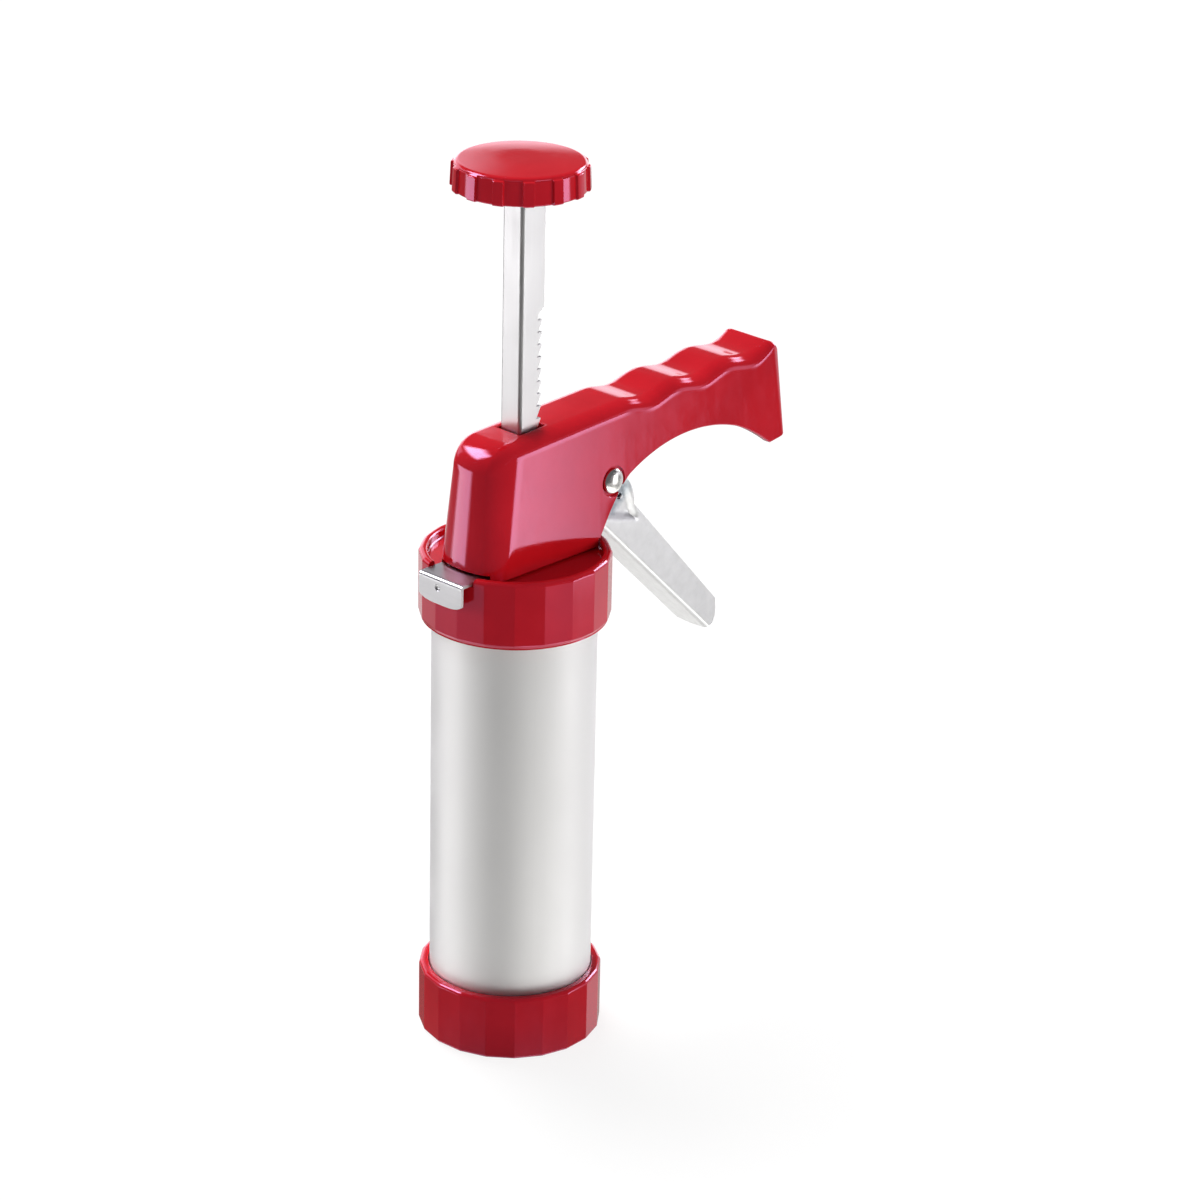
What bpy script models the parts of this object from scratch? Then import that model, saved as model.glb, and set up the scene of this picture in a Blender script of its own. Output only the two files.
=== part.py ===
"""Cookie press: barrel, screw rings, head with grip, ratchet rod and trigger lever.

Metres, +Z up. The press stands on its bottom ring, and its origin is the middle of
the footprint of its bounding box. All sizes below are measured from the barrel's
axis, with +X towards the grip, and the empty press_axis moves them into place.
"""
import math

import bmesh
import bpy
from mathutils import Matrix, Vector

# Clearances
SEAT_GAP = 0.0003
RUNNING_GAP = 0.0003
CUT_OVERRUN = 0.004

# Fineness of round pieces
TUBE_STEPS = 60
TURN_STEPS = 36
SMALL_STEPS = 16
FACET_STEPS = 3
HELIX_STEPS = 24
COIL_STEPS = 10
SHARP_ANGLE = math.radians(32)
FACET_SHARP_ANGLE = math.radians(14)

# Screw threads on the tube
THREAD_PITCH = 0.0030
THREAD_DEPTH = 0.0008
GROOVE_ROOT_HALF = 0.00035
GROOVE_MOUTH_HALF = 0.00085
GROOVE_TURNS = 3.0
RIDGE_TURNS = 1.5

# Barrel tube
TUBE_RADIUS = 0.0250
TUBE_WALL = 0.0016
TUBE_LENGTH = 0.1486
THREAD_CLEARANCE = 0.0003

# Pattern disc
DISC_THICKNESS = 0.0010
DISC_PETALS = 6
PETAL_HALF_WIDTH = 0.0015
PETAL_INNER_RADIUS = 0.0052
PETAL_OUTER_RADIUS = 0.0125
DISC_EYE_RADIUS = 0.0018

# Both rings are ground to this many flats
RING_FACETS = 20
RING_POINTS = RING_FACETS * FACET_STEPS

# Bottom ring
BOTTOM_RING_RADIUS = TUBE_RADIUS + 0.00325
BOTTOM_RING_HEIGHT = 0.0204
BOTTOM_RING_FIRST_CORNER = math.radians(12)
BOTTOM_LIP_HEIGHT = 0.0020
DOUGH_OPENING_RADIUS = TUBE_RADIUS - TUBE_WALL - 0.0019
RING_FOOT_ROUND = 0.0008
RING_SHOULDER = 0.0012

# Head cap
HEAD_CAP_RADIUS = TUBE_RADIUS + 0.0040
HEAD_CAP_FIRST_CORNER = math.radians(8.5)
HEAD_CAP_SKIRT = 0.0158
HEAD_CAP_FLOOR = 0.0027
HEAD_CAP_RIM = 0.0027
RIM_INNER_RADIUS = HEAD_CAP_RADIUS - 0.0022
RECESS_RADIUS = HEAD_CAP_RADIUS - 0.0028
NOTCH_HALF_WIDTH = 0.0094
NOTCH_STEP = 0.0003

# Housing shell
HOUSING_WALL = 0.0022
HOUSING_FRONT_X = 0.0024 - RECESS_RADIUS
HOUSING_HALF_WIDTH = 0.0128
HOUSING_BOW_RADIUS = 0.0244
HOUSING_CORNER_RADIUS = 0.0075
HOUSING_HEIGHT = 0.0406
HOUSING_TOP_SLOPE = 0.046
FRONT_DRAFT = math.tan(math.radians(5.7))
SIDE_DRAFT = math.tan(math.radians(3.5))
SIDE_FILLET = 0.0047
FRONT_FILLET = 0.0088
GRIP_END_FILLET = 0.0016
GRIP_END_X = 0.1094
GRIP_END_RADIUS = 0.0030
BOW_STEPS = 3
CORNER_STEPS = 6
FRONT_SIDE_STEPS = 6
GRIP_CORNER_STEPS = 4
OUTER_FILLET_STEPS = 4
INNER_FILLET_STEPS = 2

# Underside of the grip, seen from the side
THROAT_START_X = math.sqrt((RECESS_RADIUS - 2 * SEAT_GAP) ** 2 - HOUSING_HALF_WIDTH ** 2)
THROAT_END_X = 0.0370
GRIP_ARC_CENTRE_X = 0.0645
GRIP_ARC_RADIUS = 0.0571
GRIP_ARC_RISE = 0.0259
GRIP_TIP_X = 0.1015
GRIP_TIP_SLOPE = 0.12
THROAT_SHARES = ((0.0, 0.0), (0.22, 0.32), (0.66, 0.83), (1.0, 1.0))
THROAT_STEPS = 7

# Finger valleys on top of the grip
VALLEY_COUNT = 3
VALLEY_START_X = 0.0352
VALLEY_PITCH = 0.0230
VALLEY_DEPTH = 0.0018
VALLEY_FALL_SHARE = 0.34
VALLEY_STEPS = 7

# Ratchet rod, a folded channel open towards the grip
ROD_SHEET = 0.0010
ROD_FRONT_X = -0.00315
ROD_REAR_X = 0.0063
ROD_HALF_WIDTH = 0.00415
ROD_EDGE = 0.0007
ROD_LENGTH = 0.1896
TOOTH_COUNT = 38
TOOTH_PITCH = 0.00382
TOOTH_TIP_X = 0.0055
TOOTH_DEPTH = 0.0018
TOOTH_LAND = 0.0004
TEETH_BELOW_TOP = 0.0378
ROD_SLOT_GAP = 0.0006

# Piston on the rod's foot
PISTON_HEIGHT_AT_REST = 0.0770
PISTON_RADIUS = TUBE_RADIUS - TUBE_WALL - RUNNING_GAP
PISTON_THICKNESS = 0.0080
PISTON_WEB = 0.0026
PISTON_RIM_WALL = 0.0024
PISTON_HUB_RADIUS = 0.0090
PISTON_EDGE = 0.0006
PISTON_SCREW_RADIUS = 0.00125
PISTON_SCREW_HEAD_RADIUS = 0.0029
PISTON_SCREW_HEAD = 0.0017
PISTON_SCREW_LENGTH = 0.0135
PISTON_SCREW_X = 0.0010
NUT_HALF_FLATS = 0.0024
NUT_HEIGHT = 0.0022
HEXAGON_SIDES = 6
HEXAGON_STEPS = 3

# Knob moulded on the rod
KNOB_RADIUS = 0.0203
KNOB_HEIGHT = 0.0091
KNOB_OVERLAP = 0.0050
KNOB_RIBS = 14
KNOB_RIB_HEIGHT = 0.0008
KNOB_RIB_TURN_SHARE = 0.40
KNOB_RIB_FLANK_SHARE = 0.035
KNOB_FLARE = 0.0004
KNOB_RIB_TOP = 0.0017
KNOB_DOME = 0.0009
KNOB_WALL = 0.0018
KNOB_CROWN = 0.0028
KNOB_BOSS_WALL = 0.0018
KNOB_BOSS_LIFT = 0.0006
KNOB_FACE_OUTER_SHARE = 0.62
KNOB_FACE_INNER_SHARE = 0.30

# Trigger lever, a folded channel; its own frame has its origin at the rivet,
# along = down the lever, above = towards the grip
RIVET_X = 0.0298
RIVET_ABOVE_CAP = 0.0192
LEVER_ANGLE = math.radians(-44.1)
LEVER_SHEET = 0.0012
LEVER_HALF_WIDTH = 0.0070
LEVER_EAR_HALF_WIDTH = 0.0057
LEVER_REACH = 0.0808
LEVER_WEB_START = 0.0060
LEVER_WEB_DROP = 0.0117
LEVER_BEND_RADIUS = 0.0016
LEVER_SIDE_STEPS = 5
LEVER_ARM_ALONG = -0.0149
LEVER_ARM_ABOVE = -0.0095
LEVER_ARM_RADIUS = 0.0032
LEVER_EAR_REACH = 0.0183
LEVER_EAR_HEIGHT = 0.0056
LEVER_FLANGE_START_ABOVE = 0.00095
LEVER_FLANGE_END = 0.0758
LEVER_FLANGE_END_ABOVE = -0.0025
LEVER_NOSE_START = 0.0680
LEVER_FOLD_WIDTH = 0.0022
LEVER_FOLD_TIP = 0.0248
LEVER_FOLD_TIP_ABOVE = -0.0018
LEVER_EAR_TOP_SHARES = (
    (-0.22, 0.70), (-0.10, 0.94), (0.0, 1.0), (0.20, 0.99), (0.42, 0.95), (0.60, 0.90),
    (0.72, 0.82), (0.84, 0.64), (0.93, 0.47), (1.0, 0.25))
LEVER_NOSE_SHARES = ((0.0, 0.0), (0.30, 0.62), (0.52, 0.90), (0.70, 1.0), (1.0, 0.80))

# Rivet
RIVET_RADIUS = 0.0025
RIVET_HEAD_RADIUS = 0.0039
RIVET_HEAD = 0.0019
RIVET_RECESS = 0.0009
RIVET_RECESS_GAP = 0.0006
RIVET_BOSS_RADIUS = 0.0050
RIVET_DOME_SHARES = ((1.0, 0.0), (1.0, 0.25), (0.88, 0.58), (0.60, 0.86), (0.25, 1.0))

# Pawl on its pin
PAWL_PIN_RADIUS = 0.0015
PAWL_PIN_HEAD_RADIUS = 0.0023
PAWL_PIN_HEAD = 0.0009
PAWL_HUB_RADIUS = 0.0029
PAWL_HUB_INNER_Y = 0.0012
PAWL_HUB_START = math.radians(200)
PAWL_HUB_END = math.radians(-5)
PAWL_NOSE_DROP = 0.0122
PAWL_NOSE_HEIGHT = 0.0066
PAWL_TOOTH_GAP = 0.00035
PAWL_BACK = 0.0034

# Springs
PAWL_WIRE = 0.0007
PAWL_COIL_RADIUS = 0.0023
PAWL_COIL_PITCH = 0.00115
PAWL_COIL_TURNS = 1.775
PAWL_COIL_END = math.radians(-105)
PAWL_LONG_LEG = 0.0185
PAWL_SHORT_LEG = 0.0075
LEVER_WIRE = 0.0011
LEVER_COIL_RADIUS = 0.0036
LEVER_COIL_PITCH = 0.0016
LEVER_COIL_TURNS = 3.05
LEVER_HOOK_ALONG = 0.0126
LEVER_HOOK_ABOVE = -0.0002
LEVER_HOOK_HOLE_GAP = 0.0005
LEVER_HOOK_PROUD = 0.0010
LEVER_SPRING_LEG = 0.0140
SPRING_STOP_LENGTH = 0.0024
SPRING_STOP_HALF_WIDTH = 0.0025
RELEASE_WIRE = 0.0006
RELEASE_COIL_RADIUS = 0.0023
RELEASE_COIL_TURNS = 5.0
RELEASE_COIL_LENGTH = 0.0066

# Screws that hold the housing on the cap's floor
HEAD_SCREW_FRONT_X = -0.0130
HEAD_SCREW_REAR_X = 0.0185
HEAD_SCREW_Y = HOUSING_HALF_WIDTH - HOUSING_WALL - 0.0024
HEAD_SCREW_RADIUS = 0.0014
HEAD_SCREW_HEAD_RADIUS = 0.0027
HEAD_SCREW_HEAD = 0.0016
HEAD_SCREW_LENGTH = 0.0110
SCREW_SLOT = 0.0007
SCREW_BOSS_RADIUS = 0.0030
SCREW_BOSS_TOP = 0.0015

# Release plate, the latch with the thumb tab
PLATE_SHEET = 0.0010
PLATE_TRAVEL = 0.0012
PLATE_TAB_X = -(HEAD_CAP_RADIUS + SEAT_GAP + PLATE_TRAVEL + PLATE_SHEET)
PLATE_BEND_RADIUS = 0.0013
PLATE_WIDE_HALF = 0.0089
PLATE_BOSS_GAP = 0.0006
PLATE_NECK_HALF = HEAD_SCREW_Y - SCREW_BOSS_RADIUS - PLATE_BOSS_GAP
PLATE_WINDOW_HALF = 0.0075
PLATE_WIDE_END_X = HEAD_SCREW_FRONT_X - SCREW_BOSS_RADIUS - PLATE_BOSS_GAP - PLATE_TRAVEL
PLATE_NECK_END_X = HEAD_SCREW_FRONT_X + SCREW_BOSS_RADIUS + PLATE_BOSS_GAP
PLATE_END_X = ROD_REAR_X + 0.0053
PLATE_TAB_DROP = 0.0083
PLATE_TAB_CORNER_RISE = 0.0018
PLATE_LIP_HEIGHT = 0.0062
PLATE_LIP_HALF = 0.0035
PLATE_HOLD_GAP = 0.0004
PLATE_DIMPLE_RADIUS = 0.0011
PLATE_DIMPLE_DROP = 0.0032
PLATE_DIMPLE_Y = 0.0010
LATCH_SLOT_HALF = PLATE_WIDE_HALF + 0.0012
LATCH_SLOT_HEIGHT = 0.0020
RAIL_WIDTH = 0.0020
SPRING_POST_THICKNESS = 0.0016
SPRING_POST_HALF = 0.0036

# Heights that follow from the stack, bottom to top
DISC_Z = BOTTOM_LIP_HEIGHT + SEAT_GAP
TUBE_Z = DISC_Z + DISC_THICKNESS + SEAT_GAP
TUBE_TOP_Z = TUBE_Z + TUBE_LENGTH
CAP_FLOOR_Z = TUBE_TOP_Z + SEAT_GAP
CAP_TOP_Z = CAP_FLOOR_Z + HEAD_CAP_FLOOR
CAP_SKIRT_Z = CAP_FLOOR_Z - HEAD_CAP_SKIRT
CAP_RIM_Z = CAP_TOP_Z + HEAD_CAP_RIM
HOUSING_Z = CAP_TOP_Z + SEAT_GAP
HOUSING_TOP_Z = HOUSING_Z + HOUSING_HEIGHT
PLATE_Z = CAP_TOP_Z + NOTCH_STEP + SEAT_GAP
PLATE_TOP_Z = PLATE_Z + PLATE_SHEET
RIVET_Z = CAP_TOP_Z + RIVET_ABOVE_CAP
ROD_FOOT_Z = PISTON_HEIGHT_AT_REST + PISTON_THICKNESS + SEAT_GAP
ROD_TOP_Z = ROD_FOOT_Z + ROD_LENGTH
KNOB_Z = ROD_TOP_Z - KNOB_OVERLAP
TEETH_TOP_Z = ROD_TOP_Z - TEETH_BELOW_TOP

# Radii that follow from the tube
THREAD_BORE = TUBE_RADIUS + THREAD_CLEARANCE
THREAD_ROOT = TUBE_RADIUS - THREAD_DEPTH
RIDGE_CREST = THREAD_ROOT + THREAD_CLEARANCE
DISC_RADIUS = RIDGE_CREST - THREAD_CLEARANCE

# The box's middle in X lies at the origin
BARREL_X = -(PLATE_TAB_X + GRIP_END_X - FRONT_DRAFT * GRIP_ARC_RISE / 2) / 2


def clear_scene():
    """Remove everything that the file opens with."""
    for thing in list(bpy.data.objects):
        bpy.data.objects.remove(thing, do_unlink=True)


def lever_point(along, above):
    """A point of the lever's own frame, as X and Z."""
    cos, sin = math.cos(LEVER_ANGLE), math.sin(LEVER_ANGLE)
    return (RIVET_X + along * cos - above * sin, RIVET_Z + along * sin + above * cos)


PAWL_X, PAWL_Z = lever_point(LEVER_ARM_ALONG, LEVER_ARM_ABOVE)


def paint(name, colour, roughness, metallic=0.0):
    """A Principled material."""
    material = bpy.data.materials.new(name)
    material.use_nodes = True
    shader = material.node_tree.nodes["Principled BSDF"]
    shader.inputs["Base Color"].default_value = (*colour, 1.0)
    shader.inputs["Roughness"].default_value = roughness
    shader.inputs["Metallic"].default_value = metallic
    material.diffuse_color = (*colour, 1.0)
    return material


def finish_mesh(name, shape, sharp_angle=SHARP_ANGLE):
    """Turn a bmesh into a mesh with its faces pointing out, smooth but for its real edges."""
    bmesh.ops.recalc_face_normals(shape, faces=shape.faces[:])
    mesh = bpy.data.meshes.new(name)
    shape.to_mesh(mesh)
    shape.free()
    mesh.shade_smooth()
    mesh.set_sharp_from_angle(angle=sharp_angle)
    return mesh


def piece(name, shape, material, axis_empty, origin=(0.0, 0.0, 0.0), sharp_angle=SHARP_ANGLE):
    """One named sub-part, with its origin on its joint's axis."""
    mesh = finish_mesh(name, shape, sharp_angle)
    mesh.transform(Matrix.Translation(-Vector(origin)))
    mesh.materials.append(material)
    thing = bpy.data.objects.new(name, mesh)
    bpy.context.collection.objects.link(thing)
    thing.location = origin
    thing.parent = axis_empty
    return thing


def boolean(target, shape, label, operation, axis_empty):
    """Cut or join a shape, which stays in the scene as a wire guide."""
    tool = bpy.data.objects.new(f"{target.name}_{label}", finish_mesh(label, shape))
    bpy.context.collection.objects.link(tool)
    tool.parent = axis_empty
    tool.hide_render = True
    tool.display_type = "WIRE"
    modifier = target.modifiers.new(label, "BOOLEAN")
    modifier.operation = operation
    modifier.solver = "EXACT"
    modifier.object = tool


def add_loft(shape, loops, closed=False):
    """Skin loops of equal counts, capped at both ends or closed on itself."""
    rows = [[shape.verts.new(point) for point in loop] for loop in loops]
    count = len(loops[0])
    pairs = list(zip(rows, rows[1:]))
    if closed:
        pairs.append((rows[-1], rows[0]))
    for lower, upper in pairs:
        for i in range(count):
            j = (i + 1) % count
            shape.faces.new((lower[i], lower[j], upper[j], upper[i]))
    if not closed:
        shape.faces.new(rows[0])
        shape.faces.new(rows[-1])


def loft(loops, closed=False):
    shape = bmesh.new()
    add_loft(shape, loops, closed)
    return shape


def circle(radius, z, steps, centre=(0.0, 0.0)):
    """A level circle of points."""
    turn = math.tau / steps
    return [(centre[0] + radius * math.cos(i * turn), centre[1] + radius * math.sin(i * turn), z)
            for i in range(steps)]


def cross_circle(radius, y, steps, centre):
    """A circle about an axis that runs along Y."""
    turn = math.tau / steps
    return [(centre[0] + radius * math.cos(i * turn), y, centre[1] + radius * math.sin(i * turn))
            for i in range(steps)]


def facing_circle(radius, x, steps, centre):
    """A circle about an axis that runs along X."""
    turn = math.tau / steps
    return [(x, centre[0] + radius * math.cos(i * turn), centre[1] + radius * math.sin(i * turn))
            for i in range(steps)]


def turned(profile, steps, centre=(0.0, 0.0), closed=False):
    """A turned solid from (radius, height) pairs."""
    return loft([circle(r, z, steps, centre) for r, z in profile], closed)


def box(low, high):
    """A plain block between two corners."""
    (x0, y0, z0), (x1, y1, z1) = low, high
    plan = ((x0, y0), (x1, y0), (x1, y1), (x0, y1))
    return [[(x, y, z0) for x, y in plan], [(x, y, z1) for x, y in plan]]


def blocks(*pairs):
    """Several separate blocks in one shape."""
    shape = bmesh.new()
    for low, high in pairs:
        add_loft(shape, box(low, high))
    return shape


def side_prism(outline, half_width, other=None):
    """An outline in X and Z, extruded along Y."""
    start = -half_width if other is None else other
    return [[(x, start, z) for x, z in outline], [(x, half_width, z) for x, z in outline]]


def lerp(a, b, share):
    return a + (b - a) * share


def smooth_share(value):
    """Ease from 0 to 1."""
    value = min(max(value, 0.0), 1.0)
    return value * value * (3 - 2 * value)


def facet_radius(corner_radius, angle, first_corner):
    """Distance from the axis to a ring's flat at an angle."""
    step = math.tau / RING_FACETS
    offset = (angle - first_corner) % step - step / 2
    return corner_radius * math.cos(step / 2) / math.cos(offset)


def ring_loop(radius, z, flatness, first_corner):
    """A ring's outline, from round (0) to ground flats (1)."""
    points = []
    for i in range(RING_POINTS):
        angle = first_corner + i * math.tau / RING_POINTS
        reach = lerp(radius, facet_radius(radius, angle, first_corner), flatness)
        points.append((reach * math.cos(angle), reach * math.sin(angle), z))
    return points


def helix(radii_and_halves, start_z, turns):
    """A thread's body: a section of (radius, half height) pairs carried up a helix."""
    loops = []
    for i in range(round(turns * HELIX_STEPS) + 1):
        angle = i * math.tau / HELIX_STEPS
        middle = start_z + THREAD_PITCH * angle / math.tau
        (inner, inner_half), (outer, outer_half) = radii_and_halves
        section = ((inner, -inner_half), (outer, -outer_half), (outer, outer_half), (inner, inner_half))
        loops.append([(r * math.cos(angle), r * math.sin(angle), middle + dz) for r, dz in section])
    return loft(loops)


def groove_half(radius):
    """Half height of the tube's groove at a radius."""
    slope = (GROOVE_MOUTH_HALF - GROOVE_ROOT_HALF) / THREAD_DEPTH
    return GROOVE_ROOT_HALF + (radius - THREAD_ROOT) * slope


def make_barrel(material, axis_empty):
    inner = TUBE_RADIUS - TUBE_WALL
    profile = ((inner, TUBE_Z), (TUBE_RADIUS, TUBE_Z), (TUBE_RADIUS, TUBE_TOP_Z), (inner, TUBE_TOP_Z))
    tube = piece("barrel", turned(profile, TUBE_STEPS, closed=True), material, axis_empty)
    outer = TUBE_RADIUS + THREAD_CLEARANCE
    section = ((THREAD_ROOT, GROOVE_ROOT_HALF), (outer, groove_half(outer)))
    lower_start = TUBE_Z - THREAD_PITCH / 2
    upper_start = TUBE_TOP_Z + THREAD_PITCH / 2 - GROOVE_TURNS * THREAD_PITCH
    boolean(tube, helix(section, lower_start, GROOVE_TURNS), "lower_thread", "DIFFERENCE", axis_empty)
    boolean(tube, helix(section, upper_start, GROOVE_TURNS), "upper_thread", "DIFFERENCE", axis_empty)


def make_pattern_disc(material, axis_empty):
    profile = ((DISC_RADIUS, DISC_Z), (DISC_RADIUS, DISC_Z + DISC_THICKNESS))
    disc = piece("pattern_disc", turned(profile, TURN_STEPS), material, axis_empty)
    low, high = DISC_Z - CUT_OVERRUN, DISC_Z + CUT_OVERRUN
    holes = bmesh.new()
    add_loft(holes, [circle(DISC_EYE_RADIUS, z, SMALL_STEPS) for z in (low, high)])
    for petal in range(DISC_PETALS):
        turn = petal * math.tau / DISC_PETALS
        add_loft(holes, [petal_loop(turn, z) for z in (low, high)])
    boolean(disc, holes, "petals", "DIFFERENCE", axis_empty)


def petal_loop(turn, z):
    """A slot with round ends that points away from the middle."""
    half_turn = SMALL_STEPS // 2
    points = []
    for centre, start in ((PETAL_OUTER_RADIUS, -math.pi / 2), (PETAL_INNER_RADIUS, math.pi / 2)):
        for i in range(half_turn + 1):
            angle = start + i * math.pi / half_turn
            x = centre + PETAL_HALF_WIDTH * math.cos(angle)
            y = PETAL_HALF_WIDTH * math.sin(angle)
            points.append((*turned_point(x, y, turn), z))
    return points


def turned_point(x, y, turn):
    """A point turned about the vertical axis."""
    cos, sin = math.cos(turn), math.sin(turn)
    return (x * cos - y * sin, x * sin + y * cos)


def make_bottom_ring(material, axis_empty):
    radius, top = BOTTOM_RING_RADIUS, BOTTOM_RING_HEIGHT
    half_shoulder = RING_SHOULDER / 2
    profile = (
        (DOUGH_OPENING_RADIUS, 0.0, 0.0),
        (radius - RING_FOOT_ROUND, 0.0, 1.0),
        (radius, RING_FOOT_ROUND, 1.0),
        (radius, top - RING_SHOULDER, 1.0),
        (radius - half_shoulder / 2, top - half_shoulder / 2, 1.0),
        (radius - RING_SHOULDER, top, 0.5),
        (THREAD_BORE + THREAD_CLEARANCE, top, 0.0),
        (THREAD_BORE, top - THREAD_CLEARANCE, 0.0),
        (THREAD_BORE, BOTTOM_LIP_HEIGHT, 0.0),
        (DOUGH_OPENING_RADIUS, BOTTOM_LIP_HEIGHT, 0.0))
    loops = [ring_loop(r, z, flat, BOTTOM_RING_FIRST_CORNER) for r, z, flat in profile]
    ring = piece("bottom_ring", loft(loops, closed=True), material, axis_empty, sharp_angle=FACET_SHARP_ANGLE)
    root = THREAD_BORE + THREAD_CLEARANCE
    section = tuple((r, groove_half(r) - THREAD_CLEARANCE) for r in (RIDGE_CREST, root))
    start = TUBE_Z + THREAD_PITCH / 2
    boolean(ring, helix(section, start, RIDGE_TURNS), "thread", "UNION", axis_empty)


def make_head_cap(material, axis_empty):
    radius = HEAD_CAP_RADIUS
    half_shoulder = RING_SHOULDER / 2
    profile = (
        (THREAD_BORE, CAP_FLOOR_Z, 0.0),
        (THREAD_BORE, CAP_SKIRT_Z + THREAD_CLEARANCE, 0.0),
        (THREAD_BORE + THREAD_CLEARANCE, CAP_SKIRT_Z, 0.0),
        (radius - RING_FOOT_ROUND, CAP_SKIRT_Z, 0.0),
        (radius - RING_FOOT_ROUND / 4, CAP_SKIRT_Z + RING_FOOT_ROUND, 0.3),
        (radius, CAP_SKIRT_Z + RING_FOOT_ROUND * 2, 1.0),
        (radius, CAP_RIM_Z - RING_SHOULDER, 1.0),
        (radius - half_shoulder / 2, CAP_RIM_Z - half_shoulder / 2, 1.0),
        (radius - RING_SHOULDER, CAP_RIM_Z, 0.5),
        (RIM_INNER_RADIUS, CAP_RIM_Z, 0.0),
        (RECESS_RADIUS, CAP_RIM_Z - half_shoulder, 0.0),
        (RECESS_RADIUS, CAP_TOP_Z, 0.0))
    loops = [ring_loop(r, z, flat, HEAD_CAP_FIRST_CORNER) for r, z, flat in profile]
    cap = piece("head_cap", loft(loops), material, axis_empty, sharp_angle=FACET_SHARP_ANGLE)
    boolean(cap, cap_fittings(), "fittings", "UNION", axis_empty)
    boolean(cap, cap_cuts(), "openings", "DIFFERENCE", axis_empty)


def spring_post_x():
    """Front face of the post that the release spring pushes against."""
    return PLATE_END_X + SEAT_GAP + RELEASE_COIL_LENGTH + SEAT_GAP


def release_spring_z():
    return PLATE_TOP_Z + PLATE_LIP_HEIGHT / 2


def cap_fittings():
    """Slide rails, and the post of the release spring."""
    under = CAP_TOP_Z - HEAD_CAP_FLOOR / 2
    rail_top = PLATE_Z - SEAT_GAP
    outer = PLATE_WINDOW_HALF - RUNNING_GAP
    start = PLATE_NECK_END_X + PLATE_TRAVEL
    post = spring_post_x()
    post_top = PLATE_TOP_Z + PLATE_LIP_HEIGHT
    shape = blocks(
        ((start, outer - RAIL_WIDTH, under), (PLATE_END_X, outer, rail_top)),
        ((start, -outer, under), (PLATE_END_X, RAIL_WIDTH - outer, rail_top)),
        ((post, -SPRING_POST_HALF, under), (post + SPRING_POST_THICKNESS, SPRING_POST_HALF, post_top)))
    return shape


def cap_cuts():
    """Rod hole, screw holes and the notch that the plate's tab comes out of."""
    gap = ROD_SLOT_GAP
    low, high = CAP_FLOOR_Z - CUT_OVERRUN, CAP_TOP_Z + NOTCH_STEP / 2
    reach = HEAD_CAP_RADIUS + CUT_OVERRUN
    shape = blocks(
        ((ROD_FRONT_X - gap, -ROD_HALF_WIDTH - gap, low), (ROD_REAR_X + gap, ROD_HALF_WIDTH + gap, high)),
        ((-reach, -NOTCH_HALF_WIDTH, CAP_TOP_Z + NOTCH_STEP),
         (HOUSING_FRONT_X + HOUSING_WALL, NOTCH_HALF_WIDTH, CAP_RIM_Z + CUT_OVERRUN)))
    hole = HEAD_SCREW_RADIUS + RUNNING_GAP
    for place in head_screw_places():
        add_loft(shape, [circle(hole, z, SMALL_STEPS, place) for z in (low, high)])
    return shape


def head_screw_places():
    """The four screws, left and right of the middle."""
    return [(x, side * HEAD_SCREW_Y) for x in (HEAD_SCREW_FRONT_X, HEAD_SCREW_REAR_X) for side in (-1, 1)]


def throat_outline():
    """Rear edge of the side wall, a smooth curve from the base up to the grip's arc."""
    run = THROAT_END_X - THROAT_START_X
    rise = grip_arc_z(THROAT_END_X) - HOUSING_Z
    points = []
    for i in range(THROAT_STEPS + 1):
        t = i / THROAT_STEPS
        weights = ((1 - t) ** 3, 3 * t * (1 - t) ** 2, 3 * t * t * (1 - t), t ** 3)
        along = sum(w * share[0] for w, share in zip(weights, THROAT_SHARES))
        up = sum(w * share[1] for w, share in zip(weights, THROAT_SHARES))
        points.append((THROAT_START_X + along * run, HOUSING_Z + up * rise))
    return points


def grip_arc_z(x):
    """Underside of the grip, an arc over the fingers that ends in a flat tip."""
    crown = HOUSING_Z + GRIP_ARC_RISE
    off = min(x, GRIP_TIP_X) - GRIP_ARC_CENTRE_X
    arc = crown - GRIP_ARC_RADIUS + math.sqrt(GRIP_ARC_RADIUS ** 2 - off ** 2)
    return arc + max(x - GRIP_TIP_X, 0.0) * GRIP_TIP_SLOPE


def underside_z(x):
    """Lower edge of the housing's wall at a distance from the barrel's axis."""
    if x <= THROAT_START_X:
        return HOUSING_Z
    if x >= THROAT_END_X:
        return grip_arc_z(x)
    points = throat_outline()
    for (x0, z0), (x1, z1) in zip(points, points[1:]):
        if x <= x1:
            return lerp(z0, z1, (x - x0) / (x1 - x0))
    return grip_arc_z(x)


def valley_drop(x):
    """How far the finger valleys lie below the top: a quick fall, then a slow rise."""
    share = (x - VALLEY_START_X) / VALLEY_PITCH
    if share <= 0.0 or share >= VALLEY_COUNT:
        return 0.0
    part = share % 1.0
    if part < VALLEY_FALL_SHARE:
        return VALLEY_DEPTH * math.sin(part / VALLEY_FALL_SHARE * math.pi / 2) ** 2
    rest = (part - VALLEY_FALL_SHARE) / (1 - VALLEY_FALL_SHARE)
    return VALLEY_DEPTH * math.cos(rest * math.pi / 2) ** 2


def top_z(x):
    return HOUSING_TOP_Z + x * HOUSING_TOP_SLOPE - valley_drop(x)


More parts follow.
